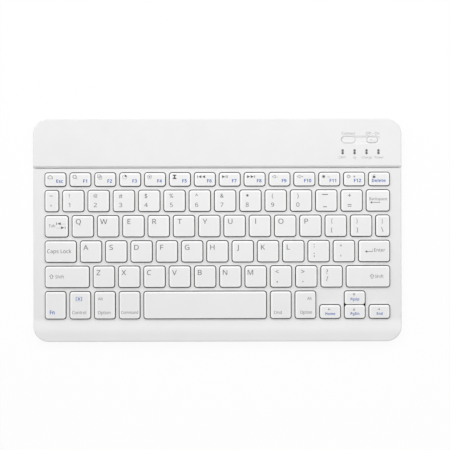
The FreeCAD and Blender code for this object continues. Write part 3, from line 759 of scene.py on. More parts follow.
BANKS: dict[str, list[tuple[str, list[Legend]]]] = {
    "function_keys": [
        ("esc", function("⌂", "Esc", 2.6, edge=1.7, widen=1.45)),
        ("f1", function("⌕", "F1", turn=90)),
        ("f2", function("⧉", "F2", 3.2, widen=0.9)),
        ("f3", function("◔", "F3")),
        ("f4", function("⊛", "F4")),
        ("f5", function("⧗", "F5", 3.0)),
        ("f6", function("l◀◀", "F6", 1.9, widen=1.3)),
        ("f7", function("▶ll", "F7", 1.9, widen=1.3)),
        ("f8", function("▶▶l", "F8", 1.9, widen=1.3)),
        ("f9", function("◁–", "F9", 2.4, widen=1.15)),
        ("f10", function("◁+", "F10", 2.4, widen=1.15)),
        ("f11", function("✸ –", "F11", 2.6)),
        ("f12", function("☼ +", "F12", 2.8)),
        ("delete", [
            Legend("∩", 3.4, 1.7, 1.3, fitted=True),
            Legend("■", 3.4, 2.95, 1.4, fitted=True, widen=1.25),
            Legend("Delete", 2.5, 5.35, 2.1, Align.RIGHT, BLUE_INK, lettering=Lettering.BOLD),
        ]),
    ],
    "number_keys": [
        ("grave", [Legend("~", 4.0, 3.2, 3.0), Legend("`", 3.8, 11.6, 5.0)]),
        ("1", pair("!", "1", 4.3)),
        ("2", [Legend("@", 4.9, 3.5, 2.6, fitted=True), *pair("", "2")[1:]]),
        *((digit, pair(sign, digit)) for digit, sign in zip("34567", "#$%^&")),
        ("8", [Legend("✱", 4.9, 3.4, 1.9, fitted=True), *pair("", "8")[1:]]),
        *((digit, pair(sign, digit)) for digit, sign in zip("90", "()")),
        ("minus", [
            Legend("—", 6.0, 2.9, 0.5, fitted=True, widen=0.5),
            Legend("–", 6.0, 11.2, 0.5, fitted=True, widen=0.6),
        ]),
        ("equals", pair("+", "=", 5.5, (3.1, 3.6), (3.5, 10.3))),
    ],
    "punctuation_keys": [
        ("left_bracket", pair("{", "[", 4.2, (2.5, 2.4), (3.5, 9.4))),
        ("right_bracket", pair("}", "]", 4.2, (2.5, 2.4), (3.5, 9.4))),
        ("backslash", pair("|", "\\", 4.1, (2.6, 3.4), (3.5, 9.4))),
        ("semicolon", pair(":", ";", 3.9, (3.6, 3.6), (2.6, 8.7))),
        ("quote", pair("\"", "'", 4.8, (3.2, 3.4), (4.3, 11.2))),
        ("comma", pair("<", ",", 4.3, (3.2, 4.2), (3.6, 8.6))),
        ("stop", pair(">", ".", 4.6, (3.2, 4.2), (3.6, 8.6))),
        ("slash", pair("?", "/", 3.9, (3.1, 3.3), (3.7, 8.4))),
    ],
    "editing_keys": [
        ("backspace", [
            Legend("Backspace", 7.8, 5.9, 1.9, widen=0.94),
            Legend("◀", 2.3, 8.3, 1.7, Align.LEFT, fitted=True),
            Legend("—", 4.0, 8.3, 0.36, Align.LEFT, fitted=True, widen=0.9),
        ]),
        ("tab", [
            Legend("Tab", 2.2, 6.6, 1.9, Align.LEFT),
            Legend("l◀—", 7.3, 5.2, 1.9, Align.LEFT, fitted=True, widen=1.4, lettering=Lettering.BOLD),
            Legend("—▶l", 7.3, 7.9, 1.9, Align.LEFT, fitted=True, widen=1.4, lettering=Lettering.BOLD),
        ]),
        ("caps_lock", [Legend("Caps Lock", 1.2, 6.7, 2.5, Align.LEFT)]),
        ("enter", [
            Legend("Enter", 2.9, 6.3, 2.2, Align.RIGHT),
            Legend("◀", 15.0, 7.3, 1.6, Align.RIGHT, fitted=True),
            Legend("—", 11.2, 7.3, 0.36, Align.RIGHT, fitted=True, widen=0.8),
            Legend("|", 11.2, 6.45, 2.0, Align.RIGHT, fitted=True),
        ]),
        ("left_shift", [
            Legend("⇧", 2.4, 6.6, 3.0, Align.LEFT, fitted=True),
            Legend("Shift", 6.7, 6.9, 2.0, Align.LEFT),
        ]),
        ("right_shift", [
            Legend("Shift", 4.0, 7.0, 2.0, Align.RIGHT),
            Legend("⇧", 10.1, 6.8, 3.0, Align.RIGHT, fitted=True),
        ]),
    ],
    "modifier_keys": [
        ("fn", [Legend("Fn", 2.9, 13.8, 2.6, Align.LEFT, BLUE_INK, widen=0.85, lettering=Lettering.BOLD)]),
        ("control", [
            Legend("▣", 5.9, 4.8, 2.7, ink=BLUE_INK, fitted=True, widen=1.55),
            Legend("Control", 1.4, 13.9, 2.1, Align.LEFT, widen=0.94),
        ]),
        ("left_option", [
            Legend("Alt", 2.1, 4.7, 1.9, Align.LEFT),
            Legend("Option", 2.1, 14.0, 2.1, Align.LEFT, widen=0.92),
        ]),
        ("command", [Legend("Command", 1.1, 13.9, 1.9, Align.LEFT, widen=0.9)]),
        ("cmd", [Legend("Cmd", 2.2, 14.1, 2.0, Align.LEFT, widen=0.9)]),
        ("right_option", [
            Legend("Alt", 2.6, 4.7, 1.9, Align.RIGHT, widen=0.9),
            Legend("Option", 2.4, 14.0, 2.1, Align.RIGHT, widen=0.86),
        ]),
    ],
}
ARROWS = {
    "key_left": arrow("Home", 2.8, 180),
    "key_up": arrow("PgUp", 2.3, 90),
    "key_down": arrow("PgDn", 2.8, 270),
    "key_right": arrow("End", 2.8, 0),
}


def key_places() -> list[KeyPlace]:
    """Find every keycap in the frame, and what is printed on it.

    Returns:
        The keycaps, the banks first and each bank from rear left to front right.
    """
    places = []
    for node, names in BANKS.items():
        parts = loose_parts(node)
        boxes = sorted((extent(part) for part in parts), key=lambda box: (-round(box[1].y, 4), box[0].x))
        for (low, high), (name, legends) in zip(boxes, names, strict=True):
            places.append(KeyPlace(f"cap_{name}", node, low, high, legends))
        for part in parts:
            bpy.data.objects.remove(part)
    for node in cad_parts:
        if node.startswith("key_") and node not in ("key_plate", "key_deck"):
            legends = ARROWS.get(node, [])
            if len(node) == len("key_a"):
                legends = letter(node[-1].upper())
            places.append(KeyPlace("cap_" + node[len("key_"):], node, *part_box(node), legends))
    return places


@dataclass
class Keycaps:
    """The keycaps: hollow, with a sloped rim round a level top that carries the legends.

    Attributes:
        places: the places of the caps.
        corner: radius of a cap's upright corners.
        edge: radius of the round between the wall and the sloped rim.
        slope_run: width of the sloped rim.
        slope_rise: its height.
        wall: thickness of the walls.
        hollow: height of the hollow under the roof.
        sink: how far the level top stays below the box of the CAD cap, so that the print fits under it.
        margin: level band beside the rim that keeps its shading flat.
        crease: the angle past which an edge is shaded sharp, in degrees.
    """

    places: list[KeyPlace]
    corner: float = 1.5 * MM
    edge: float = 0.30 * MM
    slope_run: float = 0.75 * MM
    slope_rise: float = 0.20 * MM
    wall: float = 0.9 * MM
    hollow: float = 1.6 * MM
    sink: float = 0.02 * MM
    margin: float = 0.12 * MM
    crease: float = 30.0

    def master(self) -> bpy.types.Object:
        """Model one cap.

        Returns:
            The cap of the first place.
        """
        low, high = self.places[0].low, self.places[0].high
        wall_top = high.z - self.sink - self.slope_rise - self.edge
        cap = Bench.plate("cap_master", low, Vector((high.x, high.y, wall_top)), self.corner)
        cap.round_over(self.edge, steps=3)
        cap.step_in(self.slope_run, self.slope_rise).step_in(self.margin)
        cap.pick(Element.FACES, lambda at, normal: at.z < low.z + NEAR)
        cap.step_in(self.wall).lift(self.hollow).face_out()
        # The sloped rim and its round take the lighter white: a painted highlight.
        cap.dress(KEYCAP, KEYCAP_RIM_PAINTED_HIGHLIGHT).paint(1, lambda at, normal: at.z > wall_top and normal.z < LEVEL)
        return cap.smooth(self.crease)

    def build(self) -> None:
        """Model the cap once, copy it to every place and print each copy."""
        master = self.master()
        for place in self.places:
            cap = stretched(master, place.name, place.low, place.high)
            top = place.high.z - self.sink
            prints = [
                legend.printed(place.low.x, place.high.x, place.high.y, top) for legend in place.legends
            ]
            joined([cap, *prints], place.name)
            keep(cap, place.node, "keycap_white", place.node)
        bpy.data.objects.remove(master)


@dataclass
class UpperCase:
    """The upper case as one moulding: raised strip, step, key deck with its windows, ramp and lip.

    Attributes:
        places: the places of the keycaps that come through it.
        corner: radius of the body's corners in plan.
        rim: radius of the round along the top edge.
        wall: thickness of the moulding.
        step_run: how far the step slopes from the strip down to the deck.
        step_start: how far the foot of the step lies behind the deck's rear edge.
        ramp_run: how far the ramp slopes from the deck up to the lip.
        bend_radii: radii of the bends from the strip to the lip.
        bend_steps: facets in each bend.
        support: level band beside each bend that keeps the shading of the flats flat.
        deck_support: the same inside the deck's front and rear edges.
        seam: bevel along the parting line.
        groove: width and depth of the groove along the foot of the step.
        slit: width of the slit at the bottom of that groove, between the side walls.
        window_gap: clearance round a keycap.
        window_corner: corner radius of a window.
    """

    places: list[KeyPlace]
    corner: float = BODY_CORNER
    rim: float = 0.7 * MM
    wall: float = 0.9 * MM
    step_run: float = 1.1 * MM
    step_start: float = 0.6 * MM
    ramp_run: float = 7.0 * MM
    bend_radii: tuple[float, float, float, float] = (0.6 * MM, 0.3 * MM, 14.0 * MM, 18.0 * MM)
    bend_steps: int = 8
    support: float = SUPPORT
    deck_support: tuple[float, float] = (4.0 * MM, 2.0 * MM)
    seam: float = SEAM
    groove: tuple[float, float] = (0.9 * MM, 0.5 * MM)
    slit: float = 0.3 * MM
    window_gap: float = 0.6 * MM
    window_corner: float = 2.05 * MM

    def __post_init__(self) -> None:
        """Read the body's levels from the frame."""
        self.low, self.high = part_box("bottom_cover")[0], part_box("rear_cover")[1]
        deck_low, deck_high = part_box("key_deck")
        self.parting, self.strip_top, self.deck_top = deck_low.z, self.high.z, deck_high.z
        self.step_base, self.ramp_base = deck_high.y, deck_low.y

    def skyline(self) -> list[Vector]:
        """Draw the height of the top from front to rear.

        Returns:
            Points of place along Y and height.
        """
        strip, step, deck, ramp = self.bend_radii
        foot = self.step_base + self.step_start
        corners = [
            (Vector((self.low.y, self.strip_top)), 0.0),
            (Vector((self.ramp_base - self.ramp_run, self.strip_top)), ramp),
            (Vector((self.ramp_base, self.deck_top)), deck),
            (Vector((foot, self.deck_top)), step),
            (Vector((foot + self.step_run, self.strip_top)), strip),
            (Vector((self.high.y, self.strip_top)), 0.0),
        ]
        return rounded_line(corners, self.bend_steps)

    def shell(self) -> Bench:
        """Model the moulding without its openings.

        Returns:
            The bench that holds it.
        """
        wall_foot = Vector((self.low.x, self.low.y, self.parting))
        wall_top = Vector((self.high.x, self.high.y, self.strip_top - self.rim))
        shell = Bench.plate("upper_case", wall_foot, wall_top, self.corner, BODY_STEPS)
        shell.round_over(self.rim, steps=6).step_in(self.support)
        chamfer_seam(shell, self.parting, self.seam, self.high)
        line = self.skyline()
        for point in line[1:-1]:
            shell.slice(point.x, Axis.Y)
        for end in (line[1], line[-2]):
            shell.slice(end.x + math.copysign(self.support, end.x), Axis.Y)
        for place in (self.ramp_base + self.deck_support[0], self.step_base - self.deck_support[1]):
            shell.slice(place, Axis.Y)
        for vertex in shell.piece.data.vertices:
            if vertex.co.z > self.parting + self.seam + NEAR:
                vertex.co.z += height_along(line, vertex.co.y) - self.strip_top
        shell.drop(lambda at, normal: at.z < self.parting + NEAR)
        shell.face_out()
        return shell.modify("SOLIDIFY", thickness=self.wall, offset=-1.0, use_even_offset=True)

    def windows(self) -> bpy.types.Object:
        """Model the tool that cuts a window for every key, and one for the two that share a window.

        Returns:
            The tool.
        """
        boxes = {place.name: [place.low.copy(), place.high.copy()] for place in self.places}
        boxes["cap_up"][0] = boxes.pop("cap_down")[0]
        gap = Vector((self.window_gap, self.window_gap, 0))
        span = 10 * self.window_corner
        low, high = Vector((0, 0, self.parting)), Vector((span, span, self.strip_top))
        master = Bench.plate("window_master", low, high, self.window_corner).piece
        tools = [stretched(master, name, box[0] - gap, box[1] + gap) for name, box in boxes.items()]
        bpy.data.objects.remove(master)
        return joined(tools, "window_tool")

    def groove_tools(self) -> list[bpy.types.Object]:
        """Model the tools that cut the groove along the foot of the step, and the slit in it.

        Returns:
            The tools.
        """
        width, depth = self.groove
        foot = self.step_base + self.step_start
        groove_low = Vector((self.low.x - MM, foot - width, self.deck_top - depth))
        groove_high = Vector((self.high.x + MM, foot, self.strip_top))
        slit_low = Vector((self.low.x + 2 * self.wall, foot - self.slit, self.parting))
        slit_high = Vector((self.high.x - 2 * self.wall, foot, self.deck_top))
        return [
            Bench.plate("groove_tool", groove_low, groove_high).piece,
            Bench.plate("slit_tool", slit_low, slit_high).piece,
        ]

    def build(self) -> None:
        """Model the upper case, cut its openings and dress it."""
        openings = [*ControlOpenings(self.strip_top).tools(), ChargingSocket().mouth_tool()]
        shell = self.shell().cut(self.windows(), *openings, *self.groove_tools()).dress(SHELL)
        keep(shell.smooth(BODY_CREASE), CASE, "shell_white", "rear_cover", "key_deck", "front_rail")


def chamfer_seam(bench: Bench, foot: float, size: float, high: Vector) -> None:
    """Chamfer the foot of a wall, so that a fine groove runs along the parting line.

    Args:
        bench: holds a block that stands round the origin.
        foot: the height of its lower edge.
        size: the chamfer.
        high: the highest corner of the block.
    """
    bench.slice(foot + size, Axis.Z)
    bench.pick(Element.POINTS, lambda at, normal: at.z < foot + NEAR)
    narrow = ((high.x - size) / high.x, (high.y - size) / high.y, 1)
    bench.do(bpy.ops.transform.resize, value=narrow, center_override=(0, 0, foot))


def height_along(line: list[Vector], place: float) -> float:
    """Read a rounded line.

    Args:
        line: points of place and height, in order.
        place: a place along it.

    Returns:
        The height there.
    """
    for start, end in zip(line, line[1:]):
        if place <= end.x + NEAR:
            share = (place - start.x) / max(end.x - start.x, NEAR)
            return start.y + (end.y - start.y) * min(max(share, 0.0), 1.0)
    return line[-1].y


def pill(name: str, low: Vector, high: Vector) -> Bench:
    """Start a block with round ends, each closed by one facet like those of its corners."""
    share_rounded = 0.93
    return Bench.plate(name, low, high, (high.y - low.y) / 2 * share_rounded, steps=10)


def grown(box: tuple[Vector, Vector], by: float) -> tuple[Vector, Vector]:
    """Widen a box by a clearance on each side in plan."""
    edge = Vector((by, by, 0))
    return box[0] - edge, box[1] + edge


# Sizes that the controls and their openings share
FLANGE = 0.8 * MM
CARRIER = 0.6 * MM
STEM = Vector((2.4 * MM, 1.6 * MM, 0))


def button_box() -> tuple[Vector, Vector]:
    """The box of the connect button above its flange."""
    return grown(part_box("connect_button"), -FLANGE)


def light_boxes() -> list[tuple[Vector, Vector]]:
    """Place the four lights along their bar.

    Returns:
        Their boxes, from left to right.
    """
    low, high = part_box("light_pipes")
    edge, width, count = 0.6 * MM, 1.4 * MM, 4
    first, last = low.x + edge, high.x - edge - width
    starts = [first + (last - first) * i / (count - 1) for i in range(count)]
    return [
        (Vector((x, low.y + edge, low.z)), Vector((x + width, high.y - edge, high.z))) for x in starts
    ]


@dataclass
class ControlOpenings:
    """The openings of the controls and the lights in the strip, as the tools that cut them.

    Attributes:
        strip_top: the height of the strip.
        gap: clearance round the button and the slider.
        over: how far a tool reaches past what it cuts.
        travel: how far the slider moves to the left.
        left: how far the recess reaches past the button on the left.
        right: how far it reaches past the slider on the right.
        side: how far it reaches past the button to the front and the rear.
        brim: its depth at its front and rear edges.
        front_crease: how far its front crease lies in from the front edge, and how deep.
        rear_crease: how far its rear crease lies in from the rear edge, and how deep.
        pocket: depth of the pocket that the slider moves in.
        light_gap: clearance round a light.
        light_corner: corner radius of a light's opening.
    """

    strip_top: float
    gap: float = 0.02 * MM
    over: float = 2.0 * MM
    travel: float = 2.5 * MM
    left: float = 0.5 * MM
    right: float = 1.3 * MM
    side: float = 0.55 * MM
    brim: float = 0.03 * MM
    front_crease: tuple[float, float] = (0.5 * MM, 0.32 * MM)
    rear_crease: tuple[float, float] = (1.6 * MM, 0.68 * MM)
    pocket: float = 0.55 * MM
    light_gap: float = 0.03 * MM
    light_corner: float = 0.4 * MM

    def recess(self) -> bpy.types.Object:
        """Model the tool of the recess that the button and the slider share.

        Returns:
            The tool, with its underside scooped from front to rear.
        """
        button, slider = button_box(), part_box("power_slider")
        low = Vector((button[0].x - self.left, button[0].y - self.side, self.strip_top - self.over))
        high = Vector((slider[1].x + self.right, button[1].y + self.side, self.strip_top + self.over))
        (front_in, front_depth), (rear_in, rear_depth) = self.front_crease, self.rear_crease
        scoop = [
            Vector((low.y, self.strip_top - self.brim)),
            Vector((low.y + front_in, self.strip_top - front_depth)),
            Vector((high.y - rear_in, self.strip_top - rear_depth)),
            Vector((high.y, self.strip_top - self.brim)),
        ]
        recess = pill("recess_tool", low, high)
        for crease in scoop[1:-1]:
            recess.slice(crease.x, Axis.Y)
        for vertex in recess.piece.data.vertices:
            if vertex.co.z < self.strip_top:
                vertex.co.z = height_along(scoop, vertex.co.y)
        return recess.piece

    def slider_pocket(self) -> bpy.types.Object:
        """Model the tool of the pocket that the slider moves in.

        Returns:
            The tool.
        """
        low, high = grown(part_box("power_slider"), self.gap)
        low.x -= self.travel
        low.z, high.z = self.strip_top - self.pocket, self.strip_top + self.over
        return pill("pocket_tool", low, high).piece

    def button_hole(self) -> bpy.types.Object:
        """Model the tool of the hole that the button comes through.

        Returns:
            The tool.
        """
        low, high = grown(button_box(), self.gap)
        high.z += self.over
        return pill("hole_tool", low, high).piece

    def stem_slot(self) -> bpy.types.Object:
        """Model the tool of the slot that the slider's stem moves in.

        Returns:
            The tool.
        """
        low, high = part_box("power_slider")
        middle, reach = (low + high) / 2, STEM / 2 + Vector((self.gap, self.gap, self.over))
        travel = Vector((self.travel, 0, 0))
        return Bench.plate("slot_tool", middle - reach - travel, middle + reach).piece

    def lights(self) -> bpy.types.Object:
        """Model the tool of the four lights.

        Returns:
            The tool.
        """
        over = Vector((0, 0, self.over))
        tools = []
        for low, high in light_boxes():
            opening = grown((low - over, high + over), self.light_gap)
            tools.append(Bench.plate("light_tool", *opening, self.light_corner, steps=4).piece)
        return joined(tools, "light_tool")

    def tools(self) -> list[bpy.types.Object]:
        """Model all the tools, in the order in which they cut."""
        return [self.recess(), self.slider_pocket(), self.button_hole(), self.stem_slot(), self.lights()]


@dataclass
class BottomCover:
    """The tray under the keyboard: rounded under-edge, foot seats and countersunk screw holes.

    Attributes:
        corner: radius of the body's corners in plan.
        edge: radius of the round along the under-edge.
        wall: thickness of the tray.
        support: level band beside that round which keeps the shading of the floor flat.
        seam: bevel along the parting line.
        over: how far a tool starts below what it makes room for.
        foot_gap: clearance round a foot.
        head_gap: clearance round the head of a screw.
        head: height of the cone that the head sits in.
        bore_share: radius of the bore behind it, as a share of the head's.
        bore: length of that bore.
    """

    corner: float = BODY_CORNER
    edge: float = 1.6 * MM
    wall: float = 1.0 * MM
    support: float = SUPPORT
    seam: float = SEAM
    over: float = 1.0 * MM
    foot_gap: float = 0.1 * MM
    head_gap: float = 0.1 * MM
    head: float = 0.7 * MM
    bore_share: float = 0.6
    bore: float = 2.0 * MM

    def build(self) -> None:
        """Model the tray upside down, turn it over, cut its seats and dress it."""
        low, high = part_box("bottom_cover")
        wall_foot = Vector((low.x, low.y, -high.z))
        wall_top = Vector((high.x, high.y, -low.z - self.edge))
        tray = Bench.plate("bottom_cover", wall_foot, wall_top, self.corner, BODY_STEPS)
        tray.round_over(self.edge, steps=7).step_in(self.support)
        chamfer_seam(tray, -high.z, self.seam, high)
        tray.drop(lambda at, normal: at.z < NEAR - high.z).face_out()
        tray.modify("SOLIDIFY", thickness=self.wall, offset=-1.0, use_even_offset=True)
        tray.move(TURNED_OVER).cut(*self.tools()).dress(SHELL)
        keep(tray.smooth(BODY_CREASE), CASE, "shell_white", "bottom_cover")

    def tools(self) -> list[bpy.types.Object]:
        """Model the tools that cut the foot seats and the screw holes.

        Returns:
            The tools.
        """
        below = Vector((0, 0, self.over))
        seats = []
        for middle, radius, top in round_places("rubber_feet"):
            height = top - middle.z + self.over
            seat = Bench.disc("seat_tool", middle - below, radius + self.foot_gap, height, sides=48)
            seats.append(seat.piece)
        holes = []
        for middle, radius, _ in round_places("case_screws"):
            hole = Bench.disc("hole_tool", middle - below, radius + self.head_gap, self.over)
            hole.lift(self.head).do(bpy.ops.transform.resize, value=(self.bore_share, self.bore_share, 1))
            holes.append(hole.lift(self.bore).face_out().piece)
        return [joined(seats, "seat_tool"), joined(holes, "hole_tool")]


def round_places(node: str) -> list[tuple[Vector, float, float]]:
    """Find the round solids of a node.

    Args:
        node: the name of the node.

    Returns:
        For each solid the middle of its lower face, its radius and its top.
    """
    places = []
    for part in loose_parts(node):
        low, high = extent(part)
        middle = (low + high) / 2
        places.append((Vector((middle.x, middle.y, low.z)), (high.y - low.y) / 2, high.z))
        bpy.data.objects.remove(part)
    return places


@dataclass
class Feet:
    """The rubber feet: low discs with a round rim and a shallow groove.

    Attributes:
        edge: radius of the round along the rim.
        band: width of the level band outside the groove.
        groove: depth of the groove.
        groove_wall: width of each of its sloped walls.
        groove_floor: width of its floor.
    """

    edge: float = 0.2 * MM
    band: float = 1.0 * MM
    groove: float = 0.10 * MM
    groove_wall: float = 0.15 * MM
    groove_floor: float = 0.4 * MM

    def build(self) -> None:
        """Model each foot upside down, turn it over and dress it."""
        for count, (middle, radius, top) in enumerate(round_places("rubber_feet"), 1):
            start = Vector((middle.x, -middle.y, -top))
            foot = Bench.disc(f"rubber_foot_{count}", start, radius, top - middle.z - self.edge, sides=64)
            foot.round_over(self.edge, steps=4).step_in(self.band).step_in(self.groove_wall, -self.groove)
            foot.step_in(self.groove_floor).step_in(self.groove_wall, self.groove)
            foot.move(TURNED_OVER).face_out().dress(RUBBER)
            keep(foot.smooth(), CASE, "foot_rubber", "rubber_feet")


@dataclass
class Screws:
    """The case screws: countersunk heads with a cross recess.

    Attributes:
        rim: height of the upright rim of the head.
        head: height of the head.
        shank: radius of the shank.
        tip: length of the tip.
        tip_share: radius of its end, as a share of the shank's.
        cross: length, width and depth of the bars of the cross.
        over: how far the tool of a bar starts below the head.
    """

    rim: float = 0.12 * MM
    head: float = BottomCover.head
    shank: float = 0.85 * MM
    tip: float = 0.4 * MM
    tip_share: float = 0.6
    cross: tuple[float, float, float] = (1.7 * MM, 0.42 * MM, 0.45 * MM)
    over: float = 1.0 * MM

    def build(self) -> None:
        """Model each screw, cut its cross and dress it."""
        for count, (middle, radius, top) in enumerate(round_places("case_screws"), 1):
            screw = Bench.disc(f"case_screw_{count}", middle, radius, self.rim)
            narrow = self.shank / radius
            screw.lift(self.head - self.rim).do(bpy.ops.transform.resize, value=(narrow, narrow, 1))
            screw.lift(top - middle.z - self.head - self.tip).lift(self.tip)
            screw.do(bpy.ops.transform.resize, value=(self.tip_share, self.tip_share, 1)).face_out()
            length, width, depth = self.cross
            for reach in (Vector((length, width, 0)), Vector((width, length, 0))):
                low = middle - reach / 2 - Vector((0, 0, self.over))
                high = middle + reach / 2 + Vector((0, 0, depth))
                screw.cut(Bench.plate("cross_tool", low, high).piece)
            keep(screw.dress(SCREW).smooth(), CASE, "screw_steel", "case_screws")


@dataclass
class Controls:
    """The connect button, the power slider and the four lights on the strip.

    Attributes:
        gap: how far the button and the slider stay inside their openings.
        edge: radius of the round along the button's rim.
        dish_band: width of the level band round the button's dish.
        dish: width of the dish's slope, and its depth.
        cap_height: height of the slider's cap above its stem.
        cap_band: width of the level band outside the groove in the cap.
        groove: width and depth of the groove round the cap's raised middle.
        groove_wall: width of each of the groove's steep walls.
        middle_rise: how far the wall of the raised middle stands above the band.
        middle_edge: radius of the round along the raised middle.
        stem_corner: corner radius of the stem.
        collar: how far the collar under the roof stays inside the cap, and its corner radius.
        rib: length and width of the rib on the raised middle.
        rib_corner: its corner radius.
        rib_left: how far its middle lies to the left of the cap's.
        rib_sunk: how far it is sunk into the cap.
        rib_rise: how far it stands out.
        light_edge: radius of the round along a light's rim.
        light_corner: corner radius of a light.
        waist: width of a light's pale waist.
        bar_corner: corner radius of the bar that carries the lights.
        light_words: the labels of the lights, from left to right.
    """

    gap: float = 0.22 * MM
    edge: float = 0.25 * MM
    dish_band: float = 0.5 * MM
    dish: tuple[float, float] = (0.6 * MM, 0.06 * MM)
    cap_height: float = 0.45 * MM
    cap_band: float = 0.12 * MM
    groove: tuple[float, float] = (0.30 * MM, 0.14 * MM)
    groove_wall: float = 0.03 * MM
    middle_rise: float = 0.12 * MM
    middle_edge: float = 0.08 * MM
    stem_corner: float = 0.2 * MM
    collar: tuple[float, float] = (0.2 * MM, 0.3 * MM)
    rib: tuple[float, float] = (1.6 * MM, 0.4 * MM)
    rib_corner: float = 0.19 * MM
    rib_left: float = 0.7 * MM
    rib_sunk: float = 0.02 * MM
    rib_rise: float = 0.03 * MM
    light_edge: float = 0.08 * MM
    light_corner: float = 0.38 * MM
    waist: float = 0.44 * MM
    bar_corner: float = 0.3 * MM
    light_words: tuple[str, ...] = ("CAPS", "•))", "Charge", "Power")

    def button(self) -> None:
        """Model the button: a pill with a round rim and a faint dish, on a flange under the roof."""
        low, high = grown(button_box(), -self.gap)
        dish_slope, dish_depth = self.dish
        button = pill("connect_button_cap", low, Vector((high.x, high.y, high.z - self.edge)))
        button.round_over(self.edge).step_in(self.dish_band).step_in(dish_slope, -dish_depth).face_out()
        low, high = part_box("connect_button")
        flange = pill("button_flange", low, Vector((high.x, high.y, low.z + CARRIER))).face_out()
        piece = joined([button.piece, flange.piece], "connect_button_cap")
        keep(Bench(piece).dress(CONTROL).smooth(), "connect_button", "control_white", "connect_button")

    def slider_cap(self, low: Vector, high: Vector) -> Bench:
        """Model the slider's cap: a pill with a groove round its raised middle.

        Args:
            low: the lowest corner of the cap.
            high: its highest corner.

        Returns:
            The bench that holds it, with the floor of the groove painted grey as painted shade.
        """
        width, depth = self.groove
        band = high.z - self.middle_edge - self.middle_rise
        cap = pill("power_slider_cap", low, Vector((high.x, high.y, band)))
        cap.step_in(self.cap_band).step_in(self.groove_wall, -depth).step_in(width)
        cap.step_in(self.groove_wall, depth + self.middle_rise)
        cap.round_over(self.middle_edge, steps=3).face_out().dress(CONTROL, GREY_BAND_AND_PAINTED_SHADE)
        # The floor of the groove is painted grey: painted shade that darkens the groove.
        return cap.paint(1, lambda at, normal: normal.z > LEVEL and abs(at.z - band + depth) < NEAR)

    def slider(self) -> None:
        """Model the slider: a cap with a rib, on a stem that reaches the switch and a collar."""
        low, high = grown(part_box("power_slider"), -self.gap)
        middle, base = (low + high) / 2, high.z - self.cap_height
        cap = self.slider_cap(Vector((low.x, low.y, base)), high)
        start, end = middle - STEM / 2, middle + STEM / 2
        start.z, end.z = low.z, base
        stem = Bench.plate("slider_stem", start, end, self.stem_corner, steps=3)
        inset, corner = self.collar
        start, end = grown((low, high), -inset)
        start.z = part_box("connect_button")[0].z
        end.z = start.z + CARRIER
        collar = Bench.plate("slider_collar", start, end, corner, steps=3)
        length, width = self.rib
        start = middle - Vector((self.rib_left + length / 2, width / 2, 0))
        start.z = high.z - self.rib_sunk
        end = start + Vector((length, width, self.rib_sunk + self.rib_rise))
        rib = Bench.plate("slider_rib", start, end, self.rib_corner, steps=4)
        for part, finish in ((stem, CONTROL), (collar, CONTROL), (rib, GREY_BAND_AND_PAINTED_SHADE)):
            Bench(part.piece).face_out().dress(finish)
        piece = joined([cap.piece, stem.piece, collar.piece, rib.piece], "power_slider_cap")
        keep(Bench(piece).smooth(), "power_slider", "control_white", "power_slider")

    def lights(self) -> None:
        """Model the lights: dark windows with a pale waist, on the bar that carries them."""
        for count, (start, end) in enumerate(light_boxes(), 1):
            wall_top = Vector((end.x, end.y, end.z - self.light_edge))
            window = Bench.plate(f"light_window_{count}", start, wall_top, self.light_corner, steps=4)
            window.round_over(self.light_edge, steps=2).face_out()
            middle = (start.y + end.y) / 2
            for side in (-self.waist / 2, self.waist / 2):
                window.slice(middle + side, Axis.Y)
            window.dress(SMOKED, GREY_BAND_AND_PAINTED_SHADE)
            window.paint(1, lambda at, normal: abs(at.y - middle) < self.waist / 2 - NEAR)
            keep(window.smooth(), CASE, "light_window", "light_pipes")
        low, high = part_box("light_pipes")
        bar_top = Vector((high.x, high.y, low.z + CARRIER))
        bar = Bench.plate("light_bar", low, bar_top, self.bar_corner, steps=3).face_out()
        keep(bar.dress(SMOKED).smooth(), CASE, "light_window", "light_pipes")

    def labels(self) -> None:
        """Print the plain labels beside the controls and the lights, laid out in millimetres."""
        control_size, control_gap, slider_right = 1.7, 2.0, 0.3
        light_size, light_gap, spread = 1.5, 2.1, 0.25
        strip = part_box("rear_cover")[1]
        button, slider = button_box(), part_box("power_slider")
        button_x, slider_x = ((low.x + high.x) / 2 / MM for low, high in (button, slider))
        above = (strip.y - button[1].y) / MM - control_gap
        below = (strip.y - light_boxes()[0][0].y) / MM + light_gap
        labels = [
            Legend("Connect", button_x, above, control_size, ink=MARK_INK),
            Legend("Off – On", slider_x + slider_right, above, control_size, ink=MARK_INK),
        ]
        for i, (word, (low, high)) in enumerate(zip(self.light_words, light_boxes(), strict=True)):
            x = (low.x + high.x) / 2 / MM + spread * (i - 1)
            labels.append(Legend(word, x, below, light_size, ink=MARK_INK))
        slabs = [label.printed(0.0, 0.0, strip.y, strip.z) for label in labels]
        keep(joined(slabs, "strip_labels"), CASE, "shell_white")

    def build(self) -> None:
        """Model the controls, the lights and their labels."""
        self.button()
        self.slider()
        self.lights()
        self.labels()


